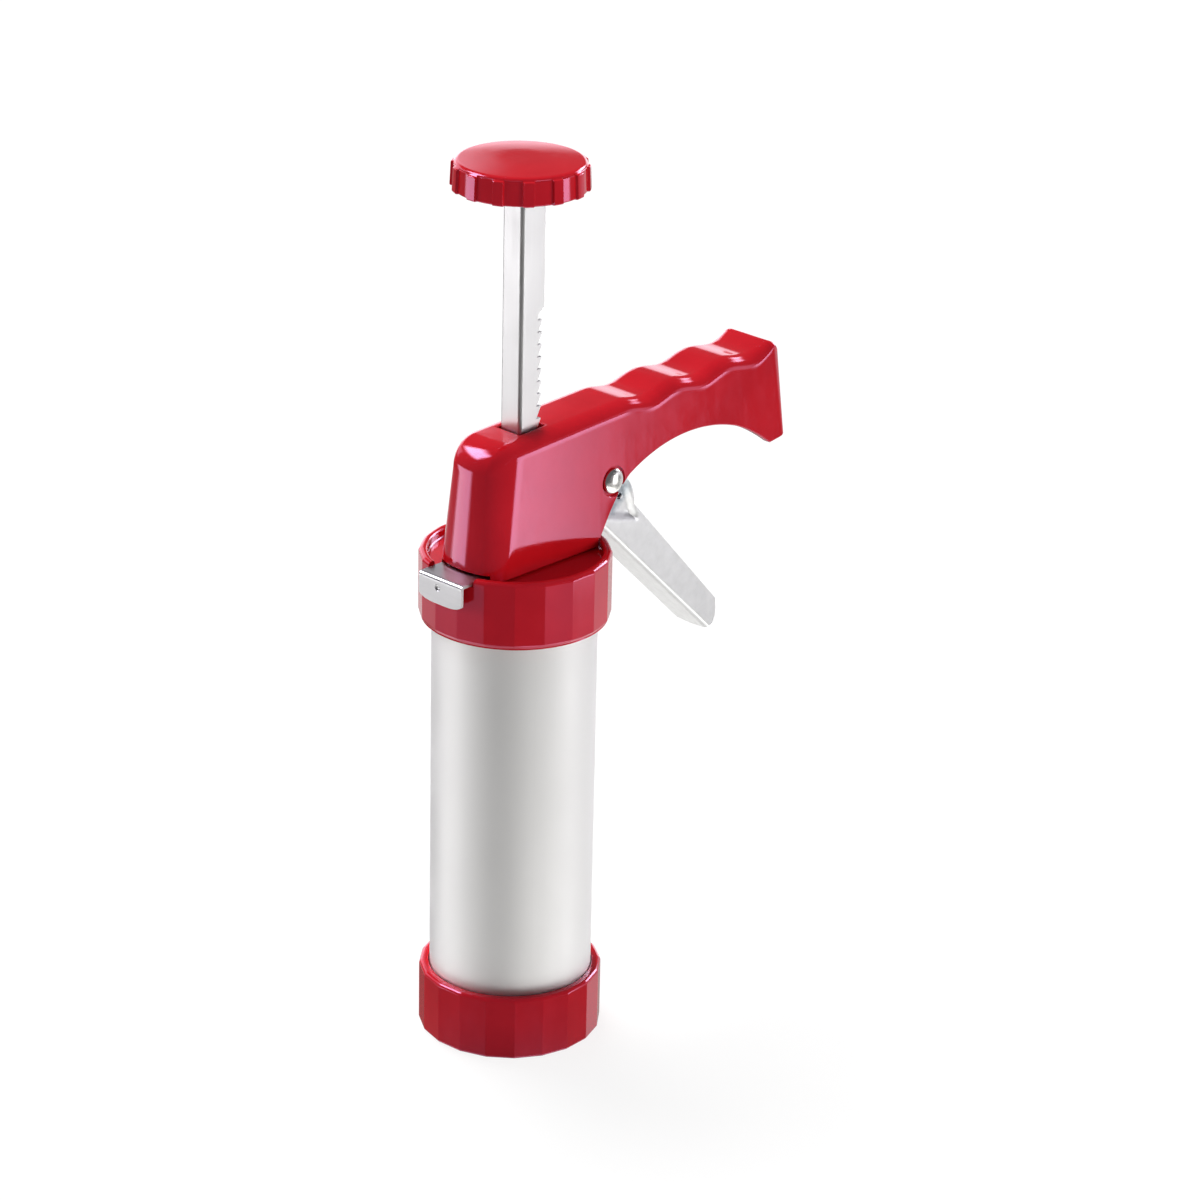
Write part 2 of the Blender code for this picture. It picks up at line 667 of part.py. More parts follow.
def side_stations():
    """Places along the straight side, close together where its edges curve."""
    corner_end = plan_corner_centre()[0]
    front = [lerp(corner_end, THROAT_START_X, i / FRONT_SIDE_STEPS) for i in range(1, FRONT_SIDE_STEPS)]
    throat = [x for x, _ in throat_outline()]
    valley_step = VALLEY_PITCH / VALLEY_STEPS
    last = GRIP_END_X - GRIP_END_RADIUS - valley_step / 2
    first_valley = VALLEY_START_X + math.ceil((THROAT_END_X - VALLEY_START_X) / valley_step) * valley_step
    grip = []
    x = first_valley + valley_step / 4
    while x < last:
        grip.append(x)
        x += valley_step
    return front + throat + grip


def plan_corner_centre():
    """Centre of the front corner's arc, which meets the bowed front smoothly."""
    reach = HOUSING_BOW_RADIUS - HOUSING_CORNER_RADIUS
    y = HOUSING_HALF_WIDTH - HOUSING_CORNER_RADIUS
    turn = math.asin(y / reach)
    return (HOUSING_FRONT_X + HOUSING_BOW_RADIUS - reach * math.cos(turn), y, turn)


def housing_plan(inset):
    """Half of the housing's outline from above, as (x, y, outward x, outward y)."""
    corner_x, corner_y, bow_turn = plan_corner_centre()
    bow_x = HOUSING_FRONT_X + HOUSING_BOW_RADIUS
    plan = []
    for i in range(BOW_STEPS + 1):
        angle = bow_turn * i / BOW_STEPS
        nx, ny = -math.cos(angle), math.sin(angle)
        radius = HOUSING_BOW_RADIUS - inset
        plan.append((bow_x + radius * nx, radius * ny, nx, ny))
    for i in range(1, CORNER_STEPS + 1):
        angle = lerp(bow_turn, math.pi / 2, i / CORNER_STEPS)
        nx, ny = -math.cos(angle), math.sin(angle)
        radius = HOUSING_CORNER_RADIUS - inset
        plan.append((corner_x + radius * nx, corner_y + radius * ny, nx, ny))
    for x in side_stations():
        plan.append((x, HOUSING_HALF_WIDTH - inset, 0.0, 1.0))
    end_x, end_y = GRIP_END_X - GRIP_END_RADIUS, HOUSING_HALF_WIDTH - GRIP_END_RADIUS
    for i in range(GRIP_CORNER_STEPS + 1):
        angle = lerp(math.pi / 2, 0.0, i / GRIP_CORNER_STEPS)
        nx, ny = math.cos(angle), math.sin(angle)
        radius = GRIP_END_RADIUS - inset
        plan.append((end_x + radius * nx, end_y + radius * ny, nx, ny))
    for i in range(1, 3):
        plan.append((GRIP_END_X - inset, lerp(end_y, 0.0, i / 2), 1.0, 0.0))
    return plan


def fillet_drop(radius, distance):
    """How far a rounded edge lies below the top at a distance from the wall."""
    off = min(max(radius - distance, 0.0), radius)
    return radius - math.sqrt(radius ** 2 - off ** 2)


def grip_end_z(x, y, inset):
    """Height of the skin near the grip's end, where the side fillets run out through the end's edge."""
    side = SIDE_FILLET - inset
    end = max(GRIP_END_FILLET - inset, SEAT_GAP)
    crown = top_z(x) - inset
    edge_y = housing_half_width(crown - side, inset)
    edge_x = GRIP_END_X - inset - FRONT_DRAFT * (crown - end - HOUSING_Z)
    return crown - fillet_drop(side, edge_y - abs(y)) - fillet_drop(end, edge_x - x)


def housing_column(station, inset, fillet_steps):
    """One upright row of points: wall, then the fillet to the top."""
    x, y, nx, ny = station
    lean = FRONT_DRAFT * nx * nx + SIDE_DRAFT * ny * ny
    end_fillet = FRONT_FILLET if nx < 0 else GRIP_END_FILLET
    fillet = max(lerp(SIDE_FILLET, end_fillet, nx * nx) - inset, SEAT_GAP)
    start = underside_z(x)
    crown = top_z(x) - inset
    wall_top = crown - fillet
    points = []
    for z in (start, wall_top):
        off = lean * (z - HOUSING_Z)
        points.append((x - nx * off, y - ny * off, z))
    edge_x, edge_y, _ = points[-1]
    if nx > 0:
        points[-1] = (edge_x, edge_y, grip_end_z(edge_x, edge_y, inset))
    for i in range(1, fillet_steps + 1):
        angle = i / fillet_steps * math.pi / 2
        off = fillet * (1 - math.cos(angle))
        px, py = edge_x - nx * off, edge_y - ny * off
        settle = lerp(crown, top_z(px) - inset, i / fillet_steps)
        pz = settle - fillet + fillet * math.sin(angle)
        if nx > 0:
            pz = grip_end_z(px, py, inset)
        points.append((px, py, pz))
    return points


def housing_skin(shape, inset, fillet_steps):
    """Outer or inner skin. Returns the vertices of its open lower edge."""
    columns = [housing_column(station, inset, fillet_steps) for station in housing_plan(inset)]
    last = len(columns) - 1
    right = [[shape.verts.new(point) for point in column] for column in columns]
    left = []
    for index, column in enumerate(columns):
        if index in (0, last):
            left.append(right[index])
        else:
            left.append([shape.verts.new((x, -y, z)) for x, y, z in column])
    spine = housing_spine(shape, columns, right, inset)
    for side in (right, left):
        for i in range(last):
            for low in range(len(columns[0]) - 1):
                shape.faces.new((side[i][low], side[i + 1][low], side[i + 1][low + 1], side[i][low + 1]))
            corners = [side[i][-1], side[i + 1][-1], spine[i + 1], spine[i]]
            shape.faces.new(list(dict.fromkeys(corners)))
    return [column[0] for column in right] + [column[0] for column in reversed(left[1:last])]


def housing_spine(shape, columns, right, inset):
    """Vertices along the middle of the top, one for each column."""
    last = len(columns) - 1
    along = [column[-1][0] for column in columns]
    front_x, rear_x = along[0], along[last]
    straight = BOW_STEPS + CORNER_STEPS
    free_front = next(i for i in range(straight, last) if along[i] > front_x + SIDE_FILLET)
    free_rear = next(i for i in range(last) if along[i] > rear_x - SIDE_FILLET / 2)
    spine = [right[0][-1]]
    for i in range(1, last):
        x = along[i]
        if i < free_front:
            x = lerp(front_x, along[free_front], i / free_front)
        elif i > free_rear:
            x = lerp(along[free_rear], rear_x, (i - free_rear) / (last - free_rear))
        spine.append(shape.verts.new((x, 0.0, top_z(x) - inset)))
    spine.append(right[last][-1])
    return spine


def housing_half_width(z, inset=0.0):
    """Half width of the housing's side walls at a height."""
    return HOUSING_HALF_WIDTH - SIDE_DRAFT * (z - HOUSING_Z) - inset


def make_housing(material, axis_empty):
    shape = bmesh.new()
    outer = housing_skin(shape, 0.0, OUTER_FILLET_STEPS)
    inner = housing_skin(shape, HOUSING_WALL, INNER_FILLET_STEPS)
    for i in range(len(outer)):
        j = (i + 1) % len(outer)
        shape.faces.new((outer[i], outer[j], inner[j], inner[i]))
    housing = piece("housing", shape, material, axis_empty)
    boolean(housing, housing_bosses(), "bosses", "UNION", axis_empty)
    boolean(housing, rim_relief(), "relief", "DIFFERENCE", axis_empty)
    boolean(housing, housing_cuts(), "openings", "DIFFERENCE", axis_empty)


def rim_relief():
    """Trims the foot of the shell to the round recess that it stands in."""
    inner, outer = RECESS_RADIUS - SEAT_GAP, HEAD_CAP_RADIUS + CUT_OVERRUN
    low, high = HOUSING_Z - CUT_OVERRUN, CAP_RIM_Z + SEAT_GAP
    return turned(((inner, low), (outer, low), (outer, high), (inner, high)), TURN_STEPS, closed=True)


def housing_bosses():
    """Screw bosses, the two rivet bosses and the stop for the lever's spring."""
    shape = bmesh.new()
    base = HOUSING_Z + SEAT_GAP
    screw_top = CAP_FLOOR_Z + HEAD_SCREW_LENGTH + SCREW_BOSS_TOP
    for place in head_screw_places():
        add_loft(shape, [circle(SCREW_BOSS_RADIUS, z, SMALL_STEPS, place) for z in (base, screw_top)])
    inside = LEVER_EAR_HALF_WIDTH + SEAT_GAP
    outside = housing_half_width(RIVET_Z, HOUSING_WALL / 2)
    for side in (-1, 1):
        ends = (side * inside, side * outside)
        add_loft(shape, [cross_circle(RIVET_BOSS_RADIUS, y, SMALL_STEPS, (RIVET_X, RIVET_Z)) for y in ends])
    tip_x, tip_z = spring_leg_tip()
    stop_x = tip_x - LEVER_WIRE - SEAT_GAP
    middle = lever_spring_end_y()
    low = (stop_x - SPRING_STOP_LENGTH, middle - SPRING_STOP_HALF_WIDTH, tip_z - LEVER_WIRE / 2)
    high = (stop_x, middle + SPRING_STOP_HALF_WIDTH, top_z(stop_x) - HOUSING_WALL / 2)
    add_loft(shape, box(low, high))
    return shape


def housing_cuts():
    """Rod slot, latch slot, rivet bore with its recesses, and screw bores."""
    gap = ROD_SLOT_GAP
    low, high = HOUSING_TOP_Z - HOUSING_WALL - CUT_OVERRUN, HOUSING_TOP_Z + CUT_OVERRUN
    slot_rear = PLATE_WIDE_END_X + PLATE_TRAVEL
    shape = blocks(
        ((ROD_FRONT_X - gap, -ROD_HALF_WIDTH - gap, low), (ROD_REAR_X + gap, ROD_HALF_WIDTH + gap, high)),
        ((HOUSING_FRONT_X - CUT_OVERRUN, -LATCH_SLOT_HALF, HOUSING_Z - CUT_OVERRUN),
         (slot_rear, LATCH_SLOT_HALF, HOUSING_Z + LATCH_SLOT_HEIGHT)))
    floor_y = housing_half_width(RIVET_Z) - RIVET_RECESS
    bore = RIVET_RADIUS + RUNNING_GAP
    recess = RIVET_HEAD_RADIUS + RIVET_RECESS_GAP
    far = HOUSING_HALF_WIDTH + CUT_OVERRUN
    right = ((bore, floor_y), (recess, floor_y), (recess, far))
    left = tuple((r, -y) for r, y in reversed(right))
    add_loft(shape, [cross_circle(r, y, SMALL_STEPS, (RIVET_X, RIVET_Z)) for r, y in left + right])
    bore_top = CAP_FLOOR_Z + HEAD_SCREW_LENGTH + SEAT_GAP
    for place in head_screw_places():
        ends = (HOUSING_Z - CUT_OVERRUN, bore_top)
        add_loft(shape, [circle(HEAD_SCREW_RADIUS + RUNNING_GAP, z, SMALL_STEPS, place) for z in ends])
    return shape


def make_head_screws(material, axis_empty):
    """Pan-head screws, put in from inside the barrel."""
    seat = CAP_FLOOR_Z - SEAT_GAP
    head_low = seat - HEAD_SCREW_HEAD
    edge = HEAD_SCREW_HEAD / 3
    for number, place in enumerate(head_screw_places(), 1):
        profile = (
            (HEAD_SCREW_HEAD_RADIUS - edge, head_low), (HEAD_SCREW_HEAD_RADIUS, head_low + edge),
            (HEAD_SCREW_HEAD_RADIUS, seat), (HEAD_SCREW_RADIUS, seat),
            (HEAD_SCREW_RADIUS, CAP_FLOOR_Z + HEAD_SCREW_LENGTH - HEAD_SCREW_RADIUS),
            (HEAD_SCREW_RADIUS / 2, CAP_FLOOR_Z + HEAD_SCREW_LENGTH))
        screw = piece(f"head_screw_{number}", turned(profile, SMALL_STEPS, place), material, axis_empty)
        reach = HEAD_SCREW_HEAD_RADIUS + CUT_OVERRUN
        half = SCREW_SLOT / 2
        slot = blocks(((place[0] - reach, place[1] - half, head_low - CUT_OVERRUN),
                       (place[0] + reach, place[1] + half, head_low + SCREW_SLOT)))
        boolean(screw, slot, "slot", "DIFFERENCE", axis_empty)


def tooth_outline():
    """Rear edge of the rod, top to bottom. Each tooth has a level shelf that faces up."""
    root = TOOTH_TIP_X - TOOTH_DEPTH
    points = [(ROD_REAR_X, ROD_TOP_Z), (ROD_REAR_X, TEETH_TOP_Z + TOOTH_PITCH)]
    points.append((root + TOOTH_LAND, TEETH_TOP_Z + TOOTH_PITCH - TOOTH_DEPTH))
    for i in range(TOOTH_COUNT):
        z = TEETH_TOP_Z - i * TOOTH_PITCH
        points += [(root, z), (TOOTH_TIP_X, z), (TOOTH_TIP_X, z - TOOTH_LAND)]
    points.append((root, TEETH_TOP_Z - TOOTH_COUNT * TOOTH_PITCH))
    points.append((TOOTH_TIP_X, TEETH_TOP_Z - TOOTH_COUNT * TOOTH_PITCH))
    points.append((TOOTH_TIP_X, ROD_FOOT_Z))
    return points


def make_rod(material, axis_empty):
    rear = tooth_outline()
    inner_y = ROD_HALF_WIDTH - ROD_EDGE
    loops = []
    for y, front in ((-ROD_HALF_WIDTH, ROD_FRONT_X + ROD_EDGE), (-inner_y, ROD_FRONT_X),
                     (inner_y, ROD_FRONT_X), (ROD_HALF_WIDTH, ROD_FRONT_X + ROD_EDGE)):
        outline = rear + [(front, ROD_FOOT_Z), (front, ROD_TOP_Z)]
        loops.append([(x, y, z) for x, z in outline])
    rod = piece("rod", loft(loops), material, axis_empty, (0.0, 0.0, ROD_FOOT_Z))
    hollow = ROD_HALF_WIDTH - ROD_SHEET
    floor = ROD_FOOT_Z + ROD_SHEET
    channel = blocks(((ROD_FRONT_X + ROD_SHEET, -hollow, floor),
                      (ROD_REAR_X + CUT_OVERRUN, hollow, ROD_TOP_Z + CUT_OVERRUN)))
    boolean(rod, channel, "channel", "DIFFERENCE", axis_empty)
    hole = [circle(PISTON_SCREW_RADIUS + RUNNING_GAP, z, SMALL_STEPS, (PISTON_SCREW_X, 0.0))
            for z in (ROD_FOOT_Z - CUT_OVERRUN, floor + CUT_OVERRUN)]
    boolean(rod, loft(hole), "screw_hole", "DIFFERENCE", axis_empty)


def make_piston(material, axis_empty):
    low = PISTON_HEIGHT_AT_REST
    high = low + PISTON_THICKNESS
    web = low + PISTON_WEB
    rim_inner = PISTON_RADIUS - PISTON_RIM_WALL
    profile = (
        (PISTON_RADIUS - PISTON_EDGE, low), (PISTON_RADIUS, low + PISTON_EDGE),
        (PISTON_RADIUS, high - PISTON_EDGE), (PISTON_RADIUS - PISTON_EDGE, high),
        (rim_inner, high), (rim_inner, web), (PISTON_HUB_RADIUS, web), (PISTON_HUB_RADIUS, high))
    piston = piece("piston", turned(profile, TURN_STEPS), material, axis_empty, (0.0, 0.0, low))
    bore = PISTON_SCREW_RADIUS + RUNNING_GAP
    sink = PISTON_SCREW_HEAD_RADIUS + RUNNING_GAP
    seat = low + PISTON_SCREW_HEAD + SEAT_GAP
    steps = ((sink, low - CUT_OVERRUN), (sink, seat), (bore, seat), (bore, high + CUT_OVERRUN))
    boolean(piston, turned(steps, SMALL_STEPS, (PISTON_SCREW_X, 0.0)), "bore", "DIFFERENCE", axis_empty)


def make_piston_screw(material, axis_empty):
    low = PISTON_HEIGHT_AT_REST
    radius = PISTON_SCREW_RADIUS
    top = low + PISTON_SCREW_LENGTH
    profile = (
        (PISTON_SCREW_HEAD_RADIUS, low), (PISTON_SCREW_HEAD_RADIUS, low + PISTON_SCREW_HEAD),
        (radius, low + PISTON_SCREW_HEAD), (radius, top - radius / 2), (radius / 2, top))
    place = (PISTON_SCREW_X, 0.0)
    screw = piece("piston_screw", turned(profile, SMALL_STEPS, place), material, axis_empty, (*place, low))
    half = SCREW_SLOT / 2
    reach = PISTON_SCREW_HEAD_RADIUS + CUT_OVERRUN
    slot = blocks(((PISTON_SCREW_X - reach, -half, low - CUT_OVERRUN),
                   (PISTON_SCREW_X + reach, half, low + SCREW_SLOT)))
    boolean(screw, slot, "slot", "DIFFERENCE", axis_empty)


def make_piston_nut(material, axis_empty):
    """A hexagon nut between the rod's legs, one flat along the rod's web."""
    low = ROD_FOOT_Z + ROD_SHEET + SEAT_GAP
    bore = PISTON_SCREW_RADIUS + RUNNING_GAP
    place = (PISTON_SCREW_X, 0.0)
    count = HEXAGON_SIDES * HEXAGON_STEPS
    turn = math.pi / HEXAGON_SIDES
    loops = []
    for z in (low, low + NUT_HEIGHT):
        ring = circle(bore, z, count)
        cos, sin = math.cos(turn), math.sin(turn)
        loops.append([(PISTON_SCREW_X + x * cos - y * sin, x * sin + y * cos, z) for x, y, z in ring])
    loops += [hexagon_loop(place, turn, z) for z in (low + NUT_HEIGHT, low)]
    piece("piston_nut", loft(loops, closed=True), material, axis_empty, (*place, low))


def hexagon_loop(place, turn, z):
    """A hexagon with as many points on each side as a sixth of its round bore."""
    corner = NUT_HALF_FLATS / math.cos(math.pi / HEXAGON_SIDES)
    corners = []
    for i in range(HEXAGON_SIDES + 1):
        angle = turn + i * math.tau / HEXAGON_SIDES
        corners.append((place[0] + corner * math.cos(angle), place[1] + corner * math.sin(angle)))
    points = []
    for (x0, y0), (x1, y1) in zip(corners, corners[1:]):
        for k in range(HEXAGON_STEPS):
            share = k / HEXAGON_STEPS
            points.append((lerp(x0, x1, share), lerp(y0, y1, share), z))
    return points


def knob_loop(valley, rib, z):
    """The knob's outline with its ribs."""
    step = math.tau / KNOB_RIBS
    half = step * KNOB_RIB_TURN_SHARE / 2
    flank = step * KNOB_RIB_FLANK_SHARE
    gap = (step - 2 * half) / 3
    turns = ((-half, valley), (flank - half, rib), (half - flank, rib), (half, valley),
             (half + gap, valley), (half + 2 * gap, valley))
    points = []
    for i in range(KNOB_RIBS):
        for turn, radius in turns:
            angle = i * step + turn
            points.append((radius * math.cos(angle), radius * math.sin(angle), z))
    return points


def make_knob(material, axis_empty):
    top = KNOB_Z + KNOB_HEIGHT
    rib_top = top - KNOB_RIB_TOP
    valley = KNOB_RADIUS - KNOB_RIB_HEIGHT
    inner = valley - KNOB_WALL
    under = top - KNOB_CROWN
    edge = KNOB_DOME / 2
    flare = KNOB_FLARE / 2
    shoulder = valley - KNOB_RIB_HEIGHT / 2
    brow = valley - KNOB_RIB_HEIGHT * 2
    rows = (
        (inner, inner, under), (inner, inner, KNOB_Z), (valley + flare, KNOB_RADIUS + flare, KNOB_Z),
        (valley - flare, KNOB_RADIUS - flare, rib_top - edge),
        (valley - edge / 4, KNOB_RADIUS - KNOB_RIB_HEIGHT / 2, rib_top),
        (shoulder, shoulder, top - KNOB_DOME - edge / 2), (brow, brow, top - KNOB_DOME + edge / 2),
        (valley * KNOB_FACE_OUTER_SHARE, valley * KNOB_FACE_OUTER_SHARE, top - KNOB_DOME / 4),
        (valley * KNOB_FACE_INNER_SHARE, valley * KNOB_FACE_INNER_SHARE, top))
    knob = piece("knob", loft([knob_loop(*row) for row in rows]), material, axis_empty, (0.0, 0.0, KNOB_Z))
    wall = KNOB_BOSS_WALL + SEAT_GAP
    boss = blocks(((ROD_FRONT_X - wall, -ROD_HALF_WIDTH - wall, KNOB_Z + KNOB_BOSS_LIFT),
                   (ROD_REAR_X + wall, ROD_HALF_WIDTH + wall, under + KNOB_CROWN / 3)))
    boolean(knob, boss, "boss", "UNION", axis_empty)
    gap = SEAT_GAP
    socket = blocks(((ROD_FRONT_X - gap, -ROD_HALF_WIDTH - gap, KNOB_Z - CUT_OVERRUN),
                     (ROD_REAR_X + gap, ROD_HALF_WIDTH + gap, ROD_TOP_Z + gap)))
    boolean(knob, socket, "socket", "DIFFERENCE", axis_empty)


def flange_top(along):
    """Upper edge of the lever's side, from its end arm over the ear to the flange's end."""
    if along < LEVER_ARM_ALONG:
        return LEVER_ARM_ABOVE + arm_half_height(along)
    table = [(LEVER_ARM_ALONG, LEVER_ARM_ABOVE + LEVER_ARM_RADIUS)]
    table += [(share * LEVER_EAR_REACH, height * LEVER_EAR_HEIGHT) for share, height in LEVER_EAR_TOP_SHARES]
    table.append((LEVER_EAR_REACH + LEVER_SHEET / 2, LEVER_FLANGE_START_ABOVE))
    table.append((LEVER_FLANGE_END, LEVER_FLANGE_END_ABOVE))
    for (a0, h0), (a1, h1) in zip(table, table[1:]):
        if along <= a1:
            return lerp(h0, h1, (along - a0) / (a1 - a0))
    return LEVER_FLANGE_END_ABOVE


def arm_half_height(along):
    """Half height of the arm's round end."""
    off = min(LEVER_ARM_ALONG - along, LEVER_ARM_RADIUS)
    return math.sqrt(LEVER_ARM_RADIUS ** 2 - off ** 2)


def flange_bottom(along):
    """Lower edge of the side: round the arm's end, then straight to the web's bend."""
    bend = LEVER_BEND_RADIUS - LEVER_WEB_DROP
    if along < LEVER_ARM_ALONG:
        return LEVER_ARM_ABOVE - arm_half_height(along)
    if along > LEVER_WEB_START:
        return bend
    low = LEVER_ARM_ABOVE - LEVER_ARM_RADIUS
    return lerp(low, bend, (along - LEVER_ARM_ALONG) / (LEVER_WEB_START - LEVER_ARM_ALONG))


def side_of_line(point, start, end):
    """Signed distance of a point to the left of a line."""
    dx, dy = end[0] - start[0], end[1] - start[1]
    return (dx * (point[1] - start[1]) - dy * (point[0] - start[0])) / math.hypot(dx, dy)


def lever_half_width(along, above):
    """Half width of the lever: the ears are pinched in beyond two fold lines."""
    tip = (LEVER_FOLD_TIP, LEVER_FOLD_TIP_ABOVE)
    low = side_of_line((along, above), (LEVER_WEB_START, -LEVER_WEB_DROP), tip)
    high = side_of_line((along, above), tip, (LEVER_EAR_REACH, LEVER_EAR_HEIGHT / 4))
    share = smooth_share(min(low, high) / LEVER_FOLD_WIDTH)
    return lerp(LEVER_HALF_WIDTH, LEVER_EAR_HALF_WIDTH, share)


def lever_stations():
    """Places along the lever, close together at its ends and folds."""
    radius = LEVER_ARM_RADIUS
    arm = [LEVER_ARM_ALONG - radius * math.cos(math.radians(a)) for a in (8, 35, 65)]
    ear = [share * LEVER_EAR_REACH for share, _ in LEVER_EAR_TOP_SHARES]
    arm += [LEVER_ARM_ALONG, lerp(LEVER_ARM_ALONG, ear[0], 0.5)]
    ear = [a for a in ear if abs(a - LEVER_WEB_START) > LEVER_SHEET] + [LEVER_WEB_START]
    fold = [LEVER_EAR_REACH + LEVER_SHEET / 2, lerp(LEVER_EAR_REACH, LEVER_FOLD_TIP, 0.5), LEVER_FOLD_TIP]
    fold.append(LEVER_FOLD_TIP + LEVER_FOLD_WIDTH)
    blade = [lerp(fold[-1], LEVER_NOSE_START, i / 3) for i in range(1, 4)]
    nose = [lerp(LEVER_NOSE_START, LEVER_FLANGE_END, i / 3) for i in range(1, 4)]
    return arm + sorted(ear) + fold + blade + nose


def nose_reach(above):
    """How far the lever's rounded end reaches at a height of its side."""
    span = LEVER_FLANGE_END_ABOVE + LEVER_WEB_DROP
    depth = min(max((LEVER_FLANGE_END_ABOVE - above) / span, 0.0), 1.0)
    for (d0, r0), (d1, r1) in zip(LEVER_NOSE_SHARES, LEVER_NOSE_SHARES[1:]):
        if depth <= d1:
            share = lerp(r0, r1, (depth - d0) / (d1 - d0))
            return lerp(LEVER_FLANGE_END, LEVER_REACH, share)
    return LEVER_REACH


def lever_section(along):
    """Points across one side at a station, from the upper edge down to the bend."""
    high, low = flange_top(along), flange_bottom(along)
    points = []
    for i in range(LEVER_SIDE_STEPS + 1):
        above = lerp(high, low, i / LEVER_SIDE_STEPS)
        points.append((along, lever_half_width(along, above), above))
    return points


def lever_web(along):
    """Points of the bend and half of the web, down to the middle."""
    half = LEVER_HALF_WIDTH
    radius = LEVER_BEND_RADIUS
    points = []
    for angle in (30, 60, 90):
        turn = math.radians(angle)
        inward, lift = radius * (1 - math.cos(turn)), radius * (1 - math.sin(turn))
        points.append((along, half - inward, lift - LEVER_WEB_DROP))
    points.append((along, (half - radius) / 2, -LEVER_WEB_DROP))
    points.append((along, 0.0, -LEVER_WEB_DROP))
    return points


def reach_out(point):
    """Stretch the last stations to the lever's rounded end."""
    along, y, above = point
    share = (along - LEVER_NOSE_START) / (LEVER_FLANGE_END - LEVER_NOSE_START)
    if share <= 0.0:
        return point
    rounding = (1 - abs(y) / LEVER_HALF_WIDTH) * LEVER_SHEET
    reach = nose_reach(above) + rounding
    return (lerp(LEVER_NOSE_START, reach, share), y, above)


def to_press(point):
    """From the lever's frame to the press."""
    along, y, above = point
    x, z = lever_point(along, above)
    return (x, y, z)


def make_lever(material, axis_empty):
    shape = bmesh.new()
    stations = lever_stations()
    rows = []
    for along in stations:
        section = lever_section(along)
        if along >= LEVER_WEB_START:
            section += lever_web(along)
        section = [to_press(reach_out(point)) for point in section]
        right = [shape.verts.new(point) for point in section]
        left = [shape.verts.new((x, -y, z)) if y > 0.0 else vert for vert, (x, y, z) in zip(right, section)]
        rows.append((right, left))
    for (right0, left0), (right1, left1) in zip(rows, rows[1:]):
        for side0, side1, flip in ((right0, right1, False), (left0, left1, True)):
            for i in range(min(len(side0), len(side1)) - 1):
                corners = (side0[i], side0[i + 1], side1[i + 1], side1[i])
                shape.faces.new(corners[::-1] if flip else corners)
    bmesh.ops.recalc_face_normals(shape, faces=shape.faces[:])
    lever = piece("lever", shape, material, axis_empty, (RIVET_X, 0.0, RIVET_Z))
    solid = lever.modifiers.new("sheet", "SOLIDIFY")
    solid.thickness = LEVER_SHEET
    solid.offset = sheet_side(lever)
    solid.use_even_offset = True
    boolean(lever, lever_holes(), "holes", "DIFFERENCE", axis_empty)


def sheet_side(lever):
    """Which way Solidify must go so that the drawn side stays outermost."""
    outermost = max(lever.data.polygons, key=lambda face: face.center.y)
    return -1.0 if outermost.normal.y > 0 else 1.0


def lever_holes():
    """Holes for the rivet, the pawl's pin and the spring's hook."""
    far = LEVER_HALF_WIDTH + CUT_OVERRUN
    holes = (
        (RIVET_RADIUS + RUNNING_GAP, (RIVET_X, RIVET_Z)),
        (PAWL_PIN_RADIUS + RUNNING_GAP, (PAWL_X, PAWL_Z)),
        (LEVER_WIRE / 2 + LEVER_HOOK_HOLE_GAP, lever_point(LEVER_HOOK_ALONG, LEVER_HOOK_ABOVE)))
    shape = bmesh.new()
    for radius, centre in holes:
        add_loft(shape, [cross_circle(radius, y, SMALL_STEPS, centre) for y in (-far, far)])
    return shape


def make_lever_rivet(material, axis_empty):
    seat = housing_half_width(RIVET_Z) - RIVET_RECESS + SEAT_GAP
    head = RIVET_HEAD_RADIUS
    dome = [(wide * head, seat + high * RIVET_HEAD) for wide, high in RIVET_DOME_SHARES]
    right = [(RIVET_RADIUS, seat)] + dome
    left = [(radius, -y) for radius, y in reversed(right)]
    loops = [cross_circle(r, y, SMALL_STEPS, (RIVET_X, RIVET_Z)) for r, y in left + right]
    piece("lever_rivet", loft(loops), material, axis_empty, (RIVET_X, 0.0, RIVET_Z))


def make_pawl(material, axis_empty):
    """A hub on the pin and a wide nose that reaches both of the rod's legs."""
    tip_x = ROD_REAR_X + PAWL_TOOTH_GAP
    tip_z = PAWL_Z - PAWL_NOSE_DROP
    top = tip_z + PAWL_NOSE_HEIGHT
    heel = tip_z - TOOTH_LAND
    back = tip_x + PAWL_BACK
    nose = [(back, top), (back, top - PAWL_NOSE_HEIGHT / 2), (tip_x + PAWL_BACK / 2, heel),
            (tip_x + TOOTH_LAND, heel), (tip_x, tip_z), (tip_x + PAWL_BACK / 4, top)]
    half = LEVER_EAR_HALF_WIDTH - LEVER_SHEET - RUNNING_GAP
    pawl = piece("pawl", loft(side_prism(nose, half)), material, axis_empty, (PAWL_X, 0.0, PAWL_Z))
    hub = []
    for i in range(SMALL_STEPS // 2 + 1):
        angle = lerp(PAWL_HUB_START, PAWL_HUB_END, i * 2 / SMALL_STEPS)
        hub.append((PAWL_X + PAWL_HUB_RADIUS * math.cos(angle), PAWL_Z + PAWL_HUB_RADIUS * math.sin(angle)))
    lap = top - PAWL_NOSE_HEIGHT / 3
    hub += [(back - TOOTH_LAND, lap), (tip_x + PAWL_BACK / 4 + TOOTH_LAND, lap)]
    shape = loft(side_prism(hub, PAWL_HUB_INNER_Y, TOOTH_LAND - half))
    boolean(pawl, shape, "hub", "UNION", axis_empty)
    far = half + CUT_OVERRUN
    radius = PAWL_PIN_RADIUS + RUNNING_GAP
    bore = [cross_circle(radius, y, SMALL_STEPS, (PAWL_X, PAWL_Z)) for y in (-far, far)]
    boolean(pawl, loft(bore), "bore", "DIFFERENCE", axis_empty)


